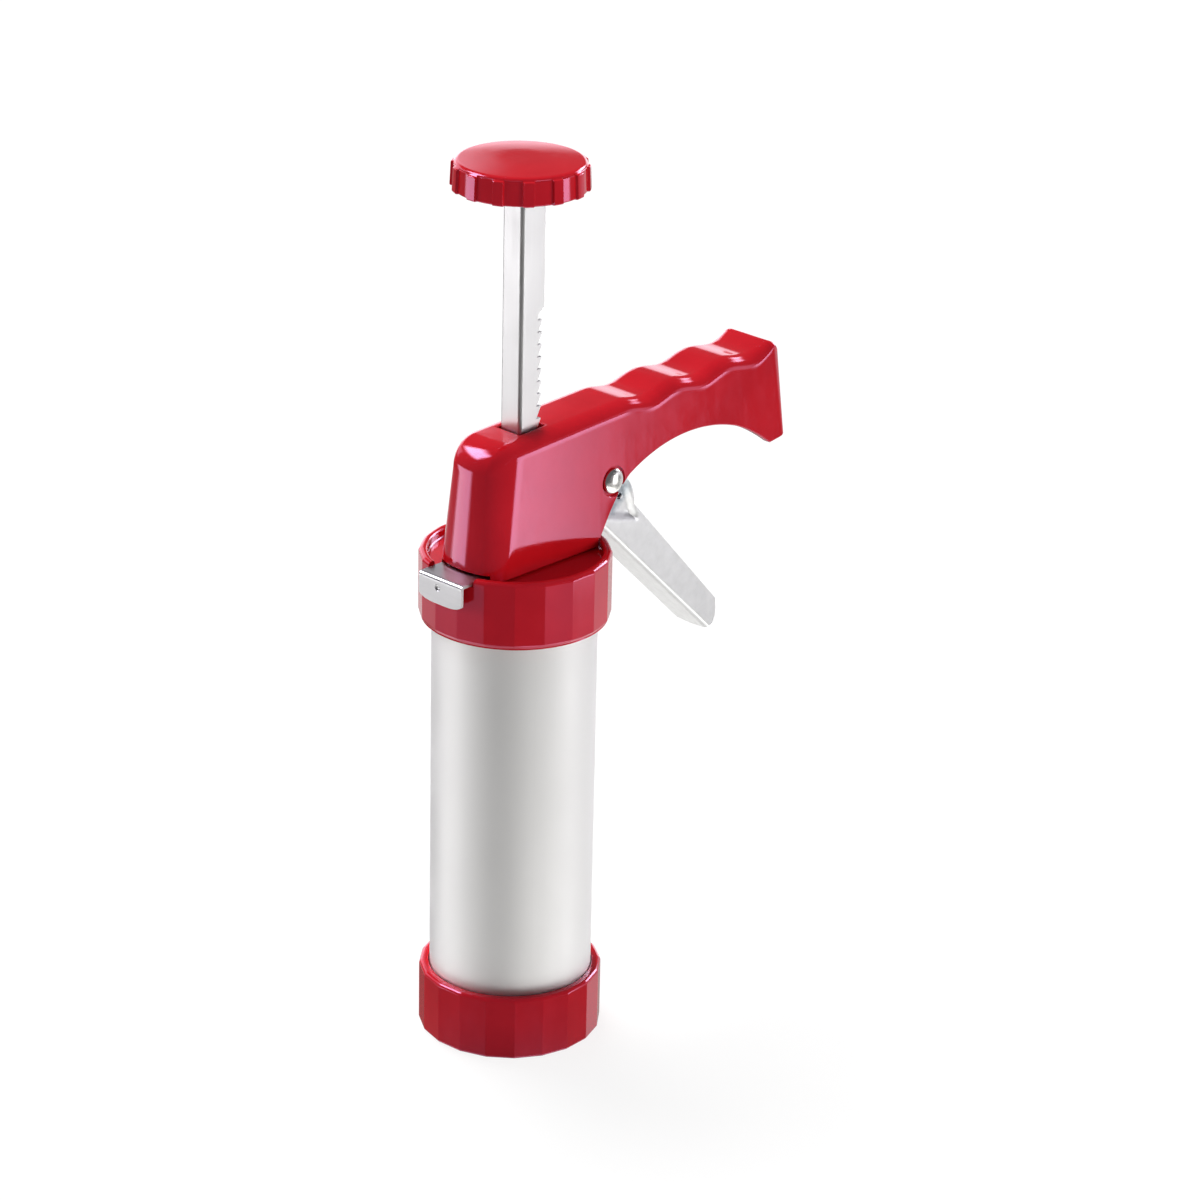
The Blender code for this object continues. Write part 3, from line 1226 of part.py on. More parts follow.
def make_pawl_pin(material, axis_empty):
    seat = LEVER_EAR_HALF_WIDTH + SEAT_GAP
    head = PAWL_PIN_HEAD_RADIUS
    end = seat + PAWL_PIN_HEAD
    right = [(PAWL_PIN_RADIUS, seat), (head, seat), (head, end - PAWL_PIN_HEAD / 2), (head / 2, end)]
    left = [(radius, -y) for radius, y in reversed(right)]
    loops = [cross_circle(r, y, SMALL_STEPS, (PAWL_X, PAWL_Z)) for r, y in left + right]
    piece("pawl_pin", loft(loops), material, axis_empty, (PAWL_X, 0.0, PAWL_Z))


def wire(name, points, diameter, material, axis_empty, origin):
    """One unbroken round wire through the points."""
    curve = bpy.data.curves.new(name, "CURVE")
    curve.dimensions = "3D"
    curve.bevel_depth = diameter / 2
    curve.bevel_resolution = 1
    curve.resolution_u = 1
    curve.render_resolution_u = 0
    curve.use_fill_caps = True
    spline = curve.splines.new("POLY")
    spline.points.add(len(points) - 1)
    for target, point in zip(spline.points, points):
        target.co = (*(Vector(point) - Vector(origin)), 1.0)
    curve.materials.append(material)
    thing = bpy.data.objects.new(name, curve)
    bpy.context.collection.objects.link(thing)
    thing.location = origin
    thing.parent = axis_empty
    print(f"{name}: least gap to itself {least_gap(points, diameter) * 1000:.2f} mm")
    return thing


def least_gap(points, diameter):
    """Clear distance between stretches of the wire that are over half a turn apart."""
    apart = COIL_STEPS // 2
    least = math.inf
    for i, first in enumerate(points):
        for second in points[i + apart:]:
            least = min(least, (Vector(first) - Vector(second)).length)
    return least - diameter


def torsion_points(centre, radius, start_angle, turns, start_y, pitch):
    """Points round a coil whose axis runs along Y."""
    count = round(turns * COIL_STEPS)
    points = []
    for i in range(count + 1):
        angle = start_angle + turns * math.tau * i / count
        y = start_y + pitch * turns * i / count
        points.append((centre[0] + radius * math.cos(angle), y, centre[1] + radius * math.sin(angle)))
    return points


def leg(points, at_start, angle, length):
    """End of a straight leg that leaves the coil at its tangent."""
    x, y, z = points[0] if at_start else points[-1]
    turn = angle - math.pi / 2 if at_start else angle + math.pi / 2
    return (x + length * math.cos(turn), y, z + length * math.sin(turn))


def lever_spring_start():
    """Start angle of the lever's spring, whose first leg runs to the hook's hole."""
    reach = math.hypot(LEVER_HOOK_ALONG, LEVER_HOOK_ABOVE)
    hook_angle = LEVER_ANGLE + math.atan2(LEVER_HOOK_ABOVE, LEVER_HOOK_ALONG)
    return hook_angle + math.acos(LEVER_COIL_RADIUS / reach)


def lever_spring_start_y():
    return -(LEVER_EAR_HALF_WIDTH - LEVER_SHEET - SEAT_GAP - LEVER_WIRE / 2)


def lever_spring_end_y():
    return lever_spring_start_y() + LEVER_COIL_TURNS * LEVER_COIL_PITCH


def lever_spring_coil():
    return torsion_points((RIVET_X, RIVET_Z), LEVER_COIL_RADIUS, lever_spring_start(),
                          LEVER_COIL_TURNS, lever_spring_start_y(), LEVER_COIL_PITCH)


def spring_leg_tip():
    """Where the lever spring's upper leg ends, as X and Z."""
    end_angle = lever_spring_start() + LEVER_COIL_TURNS * math.tau
    x, _, z = leg(lever_spring_coil(), False, end_angle, LEVER_SPRING_LEG)
    return (x, z)


def make_lever_spring(material, axis_empty):
    coil = lever_spring_coil()
    hook_x, hook_z = lever_point(LEVER_HOOK_ALONG, LEVER_HOOK_ABOVE)
    proud = LEVER_EAR_HALF_WIDTH + LEVER_HOOK_PROUD
    near = lever_spring_start_y()
    hook = [(hook_x, -proud, hook_z), (hook_x, near - LEVER_WIRE, hook_z)]
    bend_x, bend_z = lever_point(LEVER_HOOK_ALONG - LEVER_WIRE, LEVER_HOOK_ABOVE)
    hook.append((bend_x, near, bend_z))
    tip_x, tip_z = spring_leg_tip()
    points = hook + coil + [(tip_x, coil[-1][1], tip_z)]
    wire("lever_spring", points, LEVER_WIRE, material, axis_empty, (RIVET_X, 0.0, RIVET_Z))


def make_pawl_spring(material, axis_empty):
    end_y = LEVER_EAR_HALF_WIDTH - LEVER_SHEET - SEAT_GAP - PAWL_WIRE / 2
    start_y = end_y - PAWL_COIL_TURNS * PAWL_COIL_PITCH
    start_angle = PAWL_COIL_END - PAWL_COIL_TURNS * math.tau
    coil = torsion_points((PAWL_X, PAWL_Z), PAWL_COIL_RADIUS, start_angle,
                          PAWL_COIL_TURNS, start_y, PAWL_COIL_PITCH)
    first = leg(coil, True, start_angle, PAWL_SHORT_LEG)
    last = leg(coil, False, PAWL_COIL_END, PAWL_LONG_LEG)
    wire("pawl_spring", [first] + coil + [last], PAWL_WIRE, material, axis_empty, (PAWL_X, 0.0, PAWL_Z))


def make_release_spring(material, axis_empty):
    """A coil along X between the plate's lip and the cap's post, its ends straight."""
    start = PLATE_END_X + SEAT_GAP + RELEASE_WIRE / 2
    length = RELEASE_COIL_LENGTH - RELEASE_WIRE
    middle = release_spring_z()
    count = round(RELEASE_COIL_TURNS * COIL_STEPS)
    points = []
    for i in range(count + 1):
        angle = i * math.tau / COIL_STEPS
        points.append((start + length * i / count, RELEASE_COIL_RADIUS * math.cos(angle),
                       middle + RELEASE_COIL_RADIUS * math.sin(angle)))
    x, y, z = points[0]
    points.insert(0, (x, y, z - RELEASE_WIRE))
    x, y, z = points[-1]
    points.append((x, y, z + RELEASE_WIRE))
    wire("release_spring", points, RELEASE_WIRE, material, axis_empty, (start, 0.0, middle))


def plate_profile():
    """The plate from the side: tab down, bend, flat, and a lip up at the rear."""
    outer, sheet = PLATE_BEND_RADIUS, PLATE_SHEET
    inner = outer - sheet
    tab_low = PLATE_TOP_Z - PLATE_TAB_DROP
    front_x, front_z = PLATE_TAB_X + outer, PLATE_TOP_Z - outer
    rear_x, rear_z = PLATE_END_X - outer, PLATE_Z + outer
    angles = [math.radians(a) for a in (0, 30, 60, 90)]
    over = [(front_x - outer * math.cos(a), front_z + outer * math.sin(a)) for a in angles]
    under = [(front_x - inner * math.cos(a), front_z + inner * math.sin(a)) for a in reversed(angles)]
    rear_in = [(rear_x + inner * math.sin(a), rear_z - inner * math.cos(a)) for a in angles]
    rear_out = [(rear_x + outer * math.sin(a), rear_z - outer * math.cos(a)) for a in reversed(angles)]
    lip = PLATE_TOP_Z + PLATE_LIP_HEIGHT
    outline = [(PLATE_TAB_X, tab_low)] + over + rear_in + [(PLATE_END_X - sheet, lip), (PLATE_END_X, lip)]
    return outline + rear_out + under + [(PLATE_TAB_X + sheet, tab_low)]


def make_release_plate(material, axis_empty):
    shape = loft(side_prism(plate_profile(), PLATE_WIDE_HALF))
    plate = piece("release_plate", shape, material, axis_empty, (PLATE_TAB_X, 0.0, PLATE_Z))
    boolean(plate, plate_cuts(), "outline", "DIFFERENCE", axis_empty)
    boolean(plate, tab_cuts(), "tab", "DIFFERENCE", axis_empty)


def plate_cuts():
    """The neck between the front bosses, the window round the rod, and the narrow lip."""
    low, high = PLATE_Z - CUT_OVERRUN, PLATE_TOP_Z + PLATE_LIP_HEIGHT + CUT_OVERRUN
    far = PLATE_WIDE_HALF + CUT_OVERRUN
    end = PLATE_END_X + CUT_OVERRUN
    lip_low = PLATE_Z + PLATE_BEND_RADIUS
    hole_front = ROD_FRONT_X - RUNNING_GAP * 2 - PLATE_TRAVEL
    hole_half = ROD_HALF_WIDTH + RUNNING_GAP * 2
    hole_rear = TOOTH_TIP_X + PLATE_HOLD_GAP
    shape = blocks(((hole_front, -hole_half, low), (hole_rear, hole_half, high)))
    for side in (-1, 1):
        outline = (
            (PLATE_WIDE_END_X, PLATE_NECK_HALF), (PLATE_NECK_END_X, PLATE_NECK_HALF),
            (PLATE_NECK_END_X, PLATE_WINDOW_HALF), (end, PLATE_WINDOW_HALF),
            (end, far), (PLATE_WIDE_END_X, far))
        add_loft(shape, [[(x, side * y, z) for x, y in outline] for z in (low, lip_low)])
        rear = PLATE_END_X - PLATE_BEND_RADIUS * 2
        corners = ((rear, PLATE_LIP_HALF), (end, PLATE_LIP_HALF), (end, far), (rear, far))
        add_loft(shape, [[(x, side * y, z) for x, y in corners] for z in (lip_low + SEAT_GAP, high)])
    return shape


def tab_cuts():
    """The tab's bowed lower edge, and the small dimple in its face."""
    low = PLATE_TOP_Z - PLATE_TAB_DROP
    front, rear = PLATE_TAB_X - CUT_OVERRUN, PLATE_TAB_X + CUT_OVERRUN
    steps = SMALL_STEPS // 2
    edge = []
    for i in range(steps + 1):
        share = i / steps * 2 - 1
        edge.append((share * (PLATE_WIDE_HALF + SEAT_GAP), low + PLATE_TAB_CORNER_RISE * share ** 4))
    far = PLATE_WIDE_HALF + CUT_OVERRUN
    edge += [(far, low - CUT_OVERRUN), (-far, low - CUT_OVERRUN)]
    shape = loft([[(x, y, z) for y, z in edge] for x in (front, rear)])
    centre = (PLATE_DIMPLE_Y, PLATE_TOP_Z - PLATE_DIMPLE_DROP)
    depth = PLATE_TAB_X + PLATE_SHEET / 2
    add_loft(shape, [facing_circle(PLATE_DIMPLE_RADIUS, front, SMALL_STEPS, centre),
                     facing_circle(PLATE_DIMPLE_RADIUS, depth, SMALL_STEPS, centre)])
    return shape


def build():
    clear_scene()
    axis_empty = bpy.data.objects.new("press_axis", None)
    bpy.context.collection.objects.link(axis_empty)
    axis_empty.location = (BARREL_X, 0.0, 0.0)
    red = paint("red_plastic", (0.55, 0.010, 0.018), 0.18)
    aluminium = paint("satin_aluminium", (0.62, 0.63, 0.63), 0.32, 1.0)
    steel = paint("bright_steel", (0.66, 0.66, 0.67), 0.22, 1.0)
    polished = paint("polished_steel", (0.75, 0.74, 0.72), 0.12, 1.0)
    wire_steel = paint("spring_steel", (0.35, 0.35, 0.36), 0.30, 1.0)
    white = paint("white_plastic", (0.80, 0.80, 0.78), 0.35)
    make_barrel(aluminium, axis_empty)
    make_pattern_disc(aluminium, axis_empty)
    make_bottom_ring(red, axis_empty)
    make_head_cap(red, axis_empty)
    make_housing(red, axis_empty)
    make_head_screws(steel, axis_empty)
    make_rod(steel, axis_empty)
    make_knob(red, axis_empty)
    make_piston(white, axis_empty)
    make_piston_screw(steel, axis_empty)
    make_piston_nut(steel, axis_empty)
    make_lever(steel, axis_empty)
    make_lever_rivet(polished, axis_empty)
    make_lever_spring(wire_steel, axis_empty)
    make_pawl(steel, axis_empty)
    make_pawl_pin(steel, axis_empty)
    make_pawl_spring(wire_steel, axis_empty)
    make_release_plate(steel, axis_empty)
    make_release_spring(wire_steel, axis_empty)
    bpy.context.view_layer.update()


build()
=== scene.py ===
"""Looks of the cookie press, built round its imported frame.

Metres, +Z up. Pieces are drawn from the barrel's axis, with +X towards the grip, and
each one's object stands at that axis, so object coordinates are the press's own.
"""
import math

import bmesh
import bpy
from mathutils import Matrix, Vector


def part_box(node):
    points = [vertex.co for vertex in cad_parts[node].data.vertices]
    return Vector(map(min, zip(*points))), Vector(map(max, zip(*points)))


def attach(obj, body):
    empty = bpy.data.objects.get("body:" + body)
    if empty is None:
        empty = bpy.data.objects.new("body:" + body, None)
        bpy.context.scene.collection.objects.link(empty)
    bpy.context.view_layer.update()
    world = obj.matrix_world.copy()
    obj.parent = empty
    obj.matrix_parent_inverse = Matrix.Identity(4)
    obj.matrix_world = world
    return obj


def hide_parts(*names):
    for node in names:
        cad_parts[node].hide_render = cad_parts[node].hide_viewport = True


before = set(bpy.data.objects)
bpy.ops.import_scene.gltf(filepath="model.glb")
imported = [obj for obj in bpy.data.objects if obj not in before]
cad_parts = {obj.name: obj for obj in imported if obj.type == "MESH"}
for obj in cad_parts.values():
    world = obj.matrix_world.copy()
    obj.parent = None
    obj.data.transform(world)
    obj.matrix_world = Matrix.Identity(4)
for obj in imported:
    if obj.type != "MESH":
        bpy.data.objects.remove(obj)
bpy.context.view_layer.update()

# Clearances
SEAT_GAP = 0.0003
RUNNING_GAP = 0.0003
CUT_OVERRUN = 0.004

# Fineness of the round forms
TUBE_STEPS = 192
TURN_STEPS = 96
SMALL_STEPS = 40
HELIX_STEPS = 72
COIL_STEPS = 28
WIRE_SIDES = 4
ARC_STEPS = 5
SHARP_ANGLE = math.radians(32)
EDGE_ANGLE = math.radians(40)

# The frame's own places, from the barrel's axis
barrel_low, barrel_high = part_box("barrel")
AXIS_X = (barrel_low.x + barrel_high.x) / 2
TUBE_RADIUS = (barrel_high.x - barrel_low.x) / 2
TUBE_Z, TUBE_TOP_Z = barrel_low.z, barrel_high.z

# Barrel, threads and disc
TUBE_WALL = 0.0016
TUBE_EDGE = 0.00025
THREAD_PITCH = 0.0030
THREAD_DEPTH = 0.0008
THREAD_CLEARANCE = 0.0003
GROOVE_ROOT_HALF = 0.00035
GROOVE_MOUTH_HALF = 0.00085
GROOVE_TURNS = 3.0
DISC_PETALS = 6
PETAL_HALF_WIDTH = 0.0015
PETAL_INNER_RADIUS = 0.0052
PETAL_OUTER_RADIUS = 0.0125
DISC_EYE_RADIUS = 0.0018
DISC_EDGE = 0.00015

# Both rings are ground to flats, with hardly rounded corners
RING_FACETS = 20
FACET_ROUND = 0.0016
FACET_ARC_STEPS = 4
FACET_FLAT_STEPS = 5
BOTTOM_RING_RADIUS = TUBE_RADIUS + 0.00325
BOTTOM_RING_FIRST_CORNER = math.radians(12)
BOTTOM_RING_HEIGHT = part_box("bottom_ring")[1].z
BOTTOM_LIP_HEIGHT = 0.0020
DOUGH_OPENING_RADIUS = TUBE_RADIUS - TUBE_WALL - 0.0019
RING_FOOT_ROUND = 0.0008
RING_SHOULDER = 0.0012
RING_INNER_ROUND = 0.0003
THREAD_BORE = TUBE_RADIUS + THREAD_CLEARANCE
THREAD_ROOT = TUBE_RADIUS - THREAD_DEPTH

# Head cap
HEAD_CAP_RADIUS = TUBE_RADIUS + 0.0040
HEAD_CAP_FIRST_CORNER = math.radians(8.5)
CAP_SKIRT_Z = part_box("head_cap")[0].z
CAP_FLOOR_Z = TUBE_TOP_Z + SEAT_GAP
CAP_TOP_Z = CAP_FLOOR_Z + 0.0027
CAP_RIM_Z = CAP_TOP_Z + 0.0027
RIM_INNER_RADIUS = HEAD_CAP_RADIUS - 0.0022
RECESS_RADIUS = HEAD_CAP_RADIUS - 0.0028
NOTCH_HALF_WIDTH = 0.0094
NOTCH_STEP = 0.0003

# Housing shell
HOUSING_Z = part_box("housing")[0].z
HOUSING_WALL = 0.0022
HOUSING_FRONT_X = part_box("housing")[0].x - AXIS_X
HOUSING_HALF_WIDTH = 0.0128
HOUSING_BOW_RADIUS = 0.0244
HOUSING_CORNER_RADIUS = 0.0075
HOUSING_TOP_Z = HOUSING_Z + 0.0406
HOUSING_TOP_SLOPE = 0.046
FRONT_DRAFT = math.tan(math.radians(5.7))
SIDE_DRAFT = math.tan(math.radians(3.5))
SIDE_FILLET = 0.0047
SIDE_FILLET_END = 0.0009
SIDE_FILLET_FADE_X = 0.0930
FRONT_FILLET = 0.0088
GRIP_END_FILLET = 0.0029
GRIP_END_X = 0.1098
GRIP_END_DRAFT = 0.125
GRIP_SLANT_X = 0.0850
GRIP_END_RADIUS = 0.0030
LOWER_EDGE_ROUND = 0.0006
BOW_STEPS = 8
CORNER_STEPS = 14
FRONT_SIDE_STEPS = 22
GRIP_CORNER_STEPS = 8
GRIP_END_STEPS = 8
OUTER_FILLET_STEPS = 9
INNER_FILLET_STEPS = 3
LOWER_EDGE_STEPS = 3

# Underside of the grip and the finger valleys on top
THROAT_START_X = math.sqrt((RECESS_RADIUS - 2 * SEAT_GAP) ** 2 - HOUSING_HALF_WIDTH ** 2)
THROAT_END_X = 0.0370
GRIP_ARC_CENTRE_X = 0.0645
GRIP_ARC_RADIUS = 0.0592
GRIP_ARC_RISE = 0.0259
GRIP_TIP_X = 0.1015
GRIP_TIP_SLOPE = 0.12
THROAT_SHARES = ((0.0, 0.0), (0.22, 0.32), (0.66, 0.83), (1.0, 1.0))
THROAT_STEPS = 18
VALLEY_COUNT = 3
VALLEY_START_X = 0.0352
VALLEY_PITCH = 0.0230
VALLEY_DEPTH = 0.0018
VALLEY_FALL_SHARE = 0.52
VALLEY_STEPS = 26

# Ratchet rod
ROD_SHEET = 0.0010
ROD_FRONT_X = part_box("rod")[0].x - AXIS_X
ROD_REAR_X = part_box("rod")[1].x - AXIS_X
ROD_HALF_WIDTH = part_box("rod")[1].y
ROD_FOOT_Z, ROD_TOP_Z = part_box("rod")[0].z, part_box("rod")[1].z
ROD_BEND = 0.0011
ROD_BEND_STEPS = 5
ROD_EDGE = 0.00012
ROD_SLOT_GAP = 0.0006
SLOT_LIP = 0.0004
TOOTH_COUNT = 36
TOOTH_PITCH = 0.00382
TOOTH_TIP_X = 0.0055
TOOTH_DEPTH = 0.0018
TOOTH_LAND = 0.0004
TEETH_TOP_Z = ROD_TOP_Z - 0.0378 - 2 * TOOTH_PITCH

# Knob
KNOB_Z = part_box("knob")[0].z
KNOB_TOP_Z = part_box("knob")[1].z
KNOB_RADIUS = 0.0203
KNOB_RIBS = 14
KNOB_RIB_HEIGHT = 0.0008
KNOB_RIB_TURN_SHARE = 0.40
KNOB_RIB_FLANK_SHARE = 0.035
KNOB_FLARE = 0.0004
KNOB_RIB_TOP = 0.0017
KNOB_DOME = 0.0009
KNOB_WALL = 0.0018
KNOB_CROWN = 0.0028
KNOB_BOSS_WALL = 0.0018
KNOB_BOSS_LIFT = 0.0006
KNOB_FOOT_ROUND = 0.0005
KNOB_FLANK_SHARES = (0.0, 0.15, 0.5, 0.85, 1.0)
KNOB_FACE_SHARES = (0.9, 0.75, 0.5, 0.25)
KNOB_TOP_STEPS = 3
KNOB_VALLEY_STEPS = 5

# Piston
PISTON_Z, PISTON_TOP_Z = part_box("piston")[0].z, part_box("piston")[1].z
PISTON_RADIUS = TUBE_RADIUS - TUBE_WALL - RUNNING_GAP
PISTON_WEB = 0.0026
PISTON_RIM_WALL = 0.0024
PISTON_HUB_RADIUS = 0.0090
PISTON_EDGE = 0.0006
PISTON_SCREW_X = 0.0010
PISTON_SCREW_RADIUS = 0.00125
PISTON_SCREW_HEAD_RADIUS = 0.0029
PISTON_SCREW_HEAD = 0.0017

# Rivet, and the lever's own frame: its origin is at the rivet, along = down the
# lever, above = towards the grip
RIVET_CENTRE = (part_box("lever_rivet")[0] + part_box("lever_rivet")[1]) / 2
RIVET_X, RIVET_Z = RIVET_CENTRE.x - AXIS_X, RIVET_CENTRE.z
RIVET_PLACE = (RIVET_X, RIVET_Z)
RIVET_RADIUS = 0.0025
RIVET_HEAD_RADIUS = 0.0039
RIVET_HEAD = 0.0019
RIVET_RECESS = 0.0009
RIVET_RECESS_GAP = 0.0009
RIVET_BOSS_RADIUS = 0.0050
RIVET_DOME_STEPS = 14
RIVET_DOME_FLAT_SHARE = 0.25
LEVER_ANGLE = math.radians(-44.1)
LEVER_SHEET = 0.0012
LEVER_HALF_WIDTH = 0.0070
LEVER_EAR_HALF_WIDTH = 0.0057
LEVER_REACH = 0.0808
LEVER_WEB_START = 0.0060
LEVER_WEB_DROP = 0.0117
LEVER_BEND_RADIUS = 0.0016
LEVER_BEND_STEPS = 7
LEVER_WEB_STEPS = 4
LEVER_SIDE_STEPS = 16
LEVER_EDGE = 0.00018
LEVER_EDGE_ANGLE = math.radians(50)
LEVER_STEP = 0.0011
LEVER_ARM_ALONG = -0.0149
LEVER_ARM_ABOVE = -0.0095
LEVER_ARM_RADIUS = 0.0032
LEVER_ARM_ANGLES = (8, 20, 35, 50, 65, 78)
LEVER_EAR_REACH = 0.0183
LEVER_EAR_HEIGHT = 0.0056
LEVER_FLANGE_START_ABOVE = 0.00095
LEVER_FLANGE_END = 0.0758
LEVER_FLANGE_END_ABOVE = -0.0025
LEVER_NOSE_START = 0.0680
LEVER_FOLD_WIDTH = 0.0022
LEVER_FOLD_TIP = 0.0248
LEVER_FOLD_TIP_ABOVE = -0.0018
LEVER_EAR_TOP_SHARES = (
    (-0.22, 0.70), (-0.10, 0.94), (0.0, 1.0), (0.20, 0.99), (0.42, 0.95), (0.60, 0.90),
    (0.72, 0.82), (0.84, 0.64), (0.93, 0.47), (1.0, 0.25))
LEVER_NOSE_SHARES = ((0.0, 0.0), (0.30, 0.62), (0.52, 0.90), (0.70, 1.0), (1.0, 0.80))
PAWL_PIN_RADIUS = 0.0015

# Springs
PAWL_WIRE = 0.0007
PAWL_COIL_RADIUS = 0.0023
PAWL_COIL_PITCH = 0.00115
PAWL_COIL_TURNS = 1.775
PAWL_COIL_END = math.radians(-105)
PAWL_LONG_LEG = 0.0185
PAWL_SHORT_LEG = 0.0075
LEVER_WIRE = 0.0011
LEVER_COIL_RADIUS = 0.0036
LEVER_COIL_PITCH = 0.0016
LEVER_COIL_TURNS = 3.05
LEVER_COIL_START_Y = -(LEVER_EAR_HALF_WIDTH - LEVER_SHEET - SEAT_GAP - LEVER_WIRE / 2)
LEVER_HOOK_ALONG = 0.0126
LEVER_HOOK_ABOVE = -0.0002
LEVER_HOOK_HOLE_GAP = 0.0005
LEVER_HOOK_PROUD = 0.0010
LEVER_SPRING_LEG = 0.0140
SPRING_STOP_LENGTH = 0.0024
SPRING_STOP_HALF_WIDTH = 0.0025
RELEASE_WIRE = 0.0006
RELEASE_COIL_RADIUS = 0.0023
RELEASE_COIL_TURNS = 5.0
RELEASE_COIL_LENGTH = 0.0066

# Screws that hold the housing on the cap's floor
HEAD_SCREW_FRONT_X = -0.0130
HEAD_SCREW_REAR_X = 0.0185
HEAD_SCREW_Y = HOUSING_HALF_WIDTH - HOUSING_WALL - 0.0024
HEAD_SCREW_RADIUS = 0.0014
HEAD_SCREW_LENGTH = 0.0110
SCREW_BOSS_RADIUS = 0.0030
SCREW_BOSS_TOP = 0.0015

# Release plate
PLATE_Z = CAP_TOP_Z + NOTCH_STEP + SEAT_GAP
PLATE_SHEET = 0.0010
PLATE_TOP_Z = PLATE_Z + PLATE_SHEET
PLATE_TRAVEL = 0.0012
PLATE_TAB_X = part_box("release_plate")[0].x - AXIS_X
PLATE_END_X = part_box("release_plate")[1].x - AXIS_X
PLATE_BEND_RADIUS = 0.0013
PLATE_BEND_STEPS = 8
PLATE_EDGE = 0.00014
PLATE_WIDE_HALF = 0.0089
PLATE_BOSS_GAP = 0.0006
PLATE_NECK_HALF = HEAD_SCREW_Y - SCREW_BOSS_RADIUS - PLATE_BOSS_GAP
PLATE_WINDOW_HALF = 0.0075
PLATE_WIDE_END_X = HEAD_SCREW_FRONT_X - SCREW_BOSS_RADIUS - PLATE_BOSS_GAP - PLATE_TRAVEL
PLATE_NECK_END_X = HEAD_SCREW_FRONT_X + SCREW_BOSS_RADIUS + PLATE_BOSS_GAP
PLATE_TAB_DROP = 0.0083
PLATE_TAB_CORNER_RISE = 0.0018
PLATE_LIP_HEIGHT = 0.0062
PLATE_LIP_HALF = 0.0035
PLATE_HOLD_GAP = 0.0004
PLATE_DIMPLE_RADIUS = 0.0011
PLATE_DIMPLE_DROP = 0.0032
PLATE_DIMPLE_Y = 0.0010
LATCH_SLOT_HALF = PLATE_WIDE_HALF + 0.0012
LATCH_SLOT_HEIGHT = 0.0020
RAIL_WIDTH = 0.0020
SPRING_POST_THICKNESS = 0.0016
SPRING_POST_HALF = 0.0036

# Camera: the photo's viewpoint, from the barrel's foot
CAMERA_AZIMUTH = math.radians(-46.83)
CAMERA_ELEVATION = math.radians(22.86)
CAMERA_ROLL = math.radians(1.279)
CAMERA_DISTANCE = 1.258
CAMERA_AIM_RIGHT = 0.0255
CAMERA_AIM_UP = 0.1415
CAMERA_LENS = 126
CAMERA_SENSOR = 36


def lever_point(along, above):
    """A point of the lever's own frame, as X and Z."""
    cos, sin = math.cos(LEVER_ANGLE), math.sin(LEVER_ANGLE)
    return (RIVET_X + along * cos - above * sin, RIVET_Z + along * sin + above * cos)


PAWL_PLACE = lever_point(LEVER_ARM_ALONG, LEVER_ARM_ABOVE)


# Mesh helpers

def lerp(a, b, share):
    return a + (b - a) * share


def clamp(value):
    """Hold a value between 0 and 1."""
    return min(max(value, 0.0), 1.0)


def smooth_share(value):
    """Ease from 0 to 1."""
    value = clamp(value)
    return value * value * (3 - 2 * value)


def arc(centre, radius, start, end, steps):
    """Points of an arc in a plane, from one angle to another."""
    angles = [math.radians(lerp(start, end, i / steps)) for i in range(steps + 1)]
    return [(centre[0] + radius * math.cos(a), centre[1] + radius * math.sin(a)) for a in angles]


def add_loft(shape, loops, closed=False):
    """Skin loops of equal counts, capped at both ends or closed on itself."""
    rows = [[shape.verts.new(point) for point in loop] for loop in loops]
    count = len(loops[0])
    pairs = list(zip(rows, rows[1:]))
    if closed:
        pairs.append((rows[-1], rows[0]))
    for lower, upper in pairs:
        for i in range(count):
            j = (i + 1) % count
            shape.faces.new((lower[i], lower[j], upper[j], upper[i]))
    if not closed:
        shape.faces.new(rows[0])
        shape.faces.new(rows[-1])


def loft(loops, closed=False):
    shape = bmesh.new()
    add_loft(shape, loops, closed)
    return shape


def circle(radius, z, steps, centre=(0.0, 0.0)):
    """A level circle of points."""
    turn = math.tau / steps
    return [(centre[0] + radius * math.cos(i * turn), centre[1] + radius * math.sin(i * turn), z)
            for i in range(steps)]


def cross_circle(radius, y, steps, centre):
    """A circle about an axis that runs along Y."""
    return [(x, y, z) for x, z, _ in circle(radius, 0.0, steps, centre)]


def facing_circle(radius, x, steps, centre):
    """A circle about an axis that runs along X."""
    return [(x, y, z) for y, z, _ in circle(radius, 0.0, steps, centre)]


def turned(profile, steps, centre=(0.0, 0.0), closed=False):
    """A turned solid from (radius, height) pairs."""
    return loft([circle(r, z, steps, centre) for r, z in profile], closed)


def add_bar(shape, ring, radius, ends, centre):
    """A round bar between two ends, along the axis of its kind of ring."""
    add_loft(shape, [ring(radius, end, SMALL_STEPS, centre) for end in ends])


def add_screw_bars(shape, radius, ends):
    """An upright bar at each of the four screws that hold the housing."""
    for x in (HEAD_SCREW_FRONT_X, HEAD_SCREW_REAR_X):
        for y in (-HEAD_SCREW_Y, HEAD_SCREW_Y):
            add_bar(shape, circle, radius, ends, (x, y))


def upright(plan, levels):
    """A plan in X and Y, repeated at each level."""
    return [[(x, y, z) for x, y in plan] for z in levels]


def box(low, high):
    """A plain block between two corners."""
    (x0, y0, z0), (x1, y1, z1) = low, high
    return upright(((x0, y0), (x1, y0), (x1, y1), (x0, y1)), (z0, z1))


def blocks(*pairs):
    """Several separate blocks in one shape."""
    shape = bmesh.new()
    for low, high in pairs:
        add_loft(shape, box(low, high))
    return shape


def to_mesh(name, shape):
    bmesh.ops.recalc_face_normals(shape, faces=shape.faces[:])
    mesh = bpy.data.meshes.new(name)
    shape.to_mesh(mesh)
    shape.free()
    mesh.shade_smooth()
    mesh.set_sharp_from_angle(angle=SHARP_ANGLE)
    return mesh


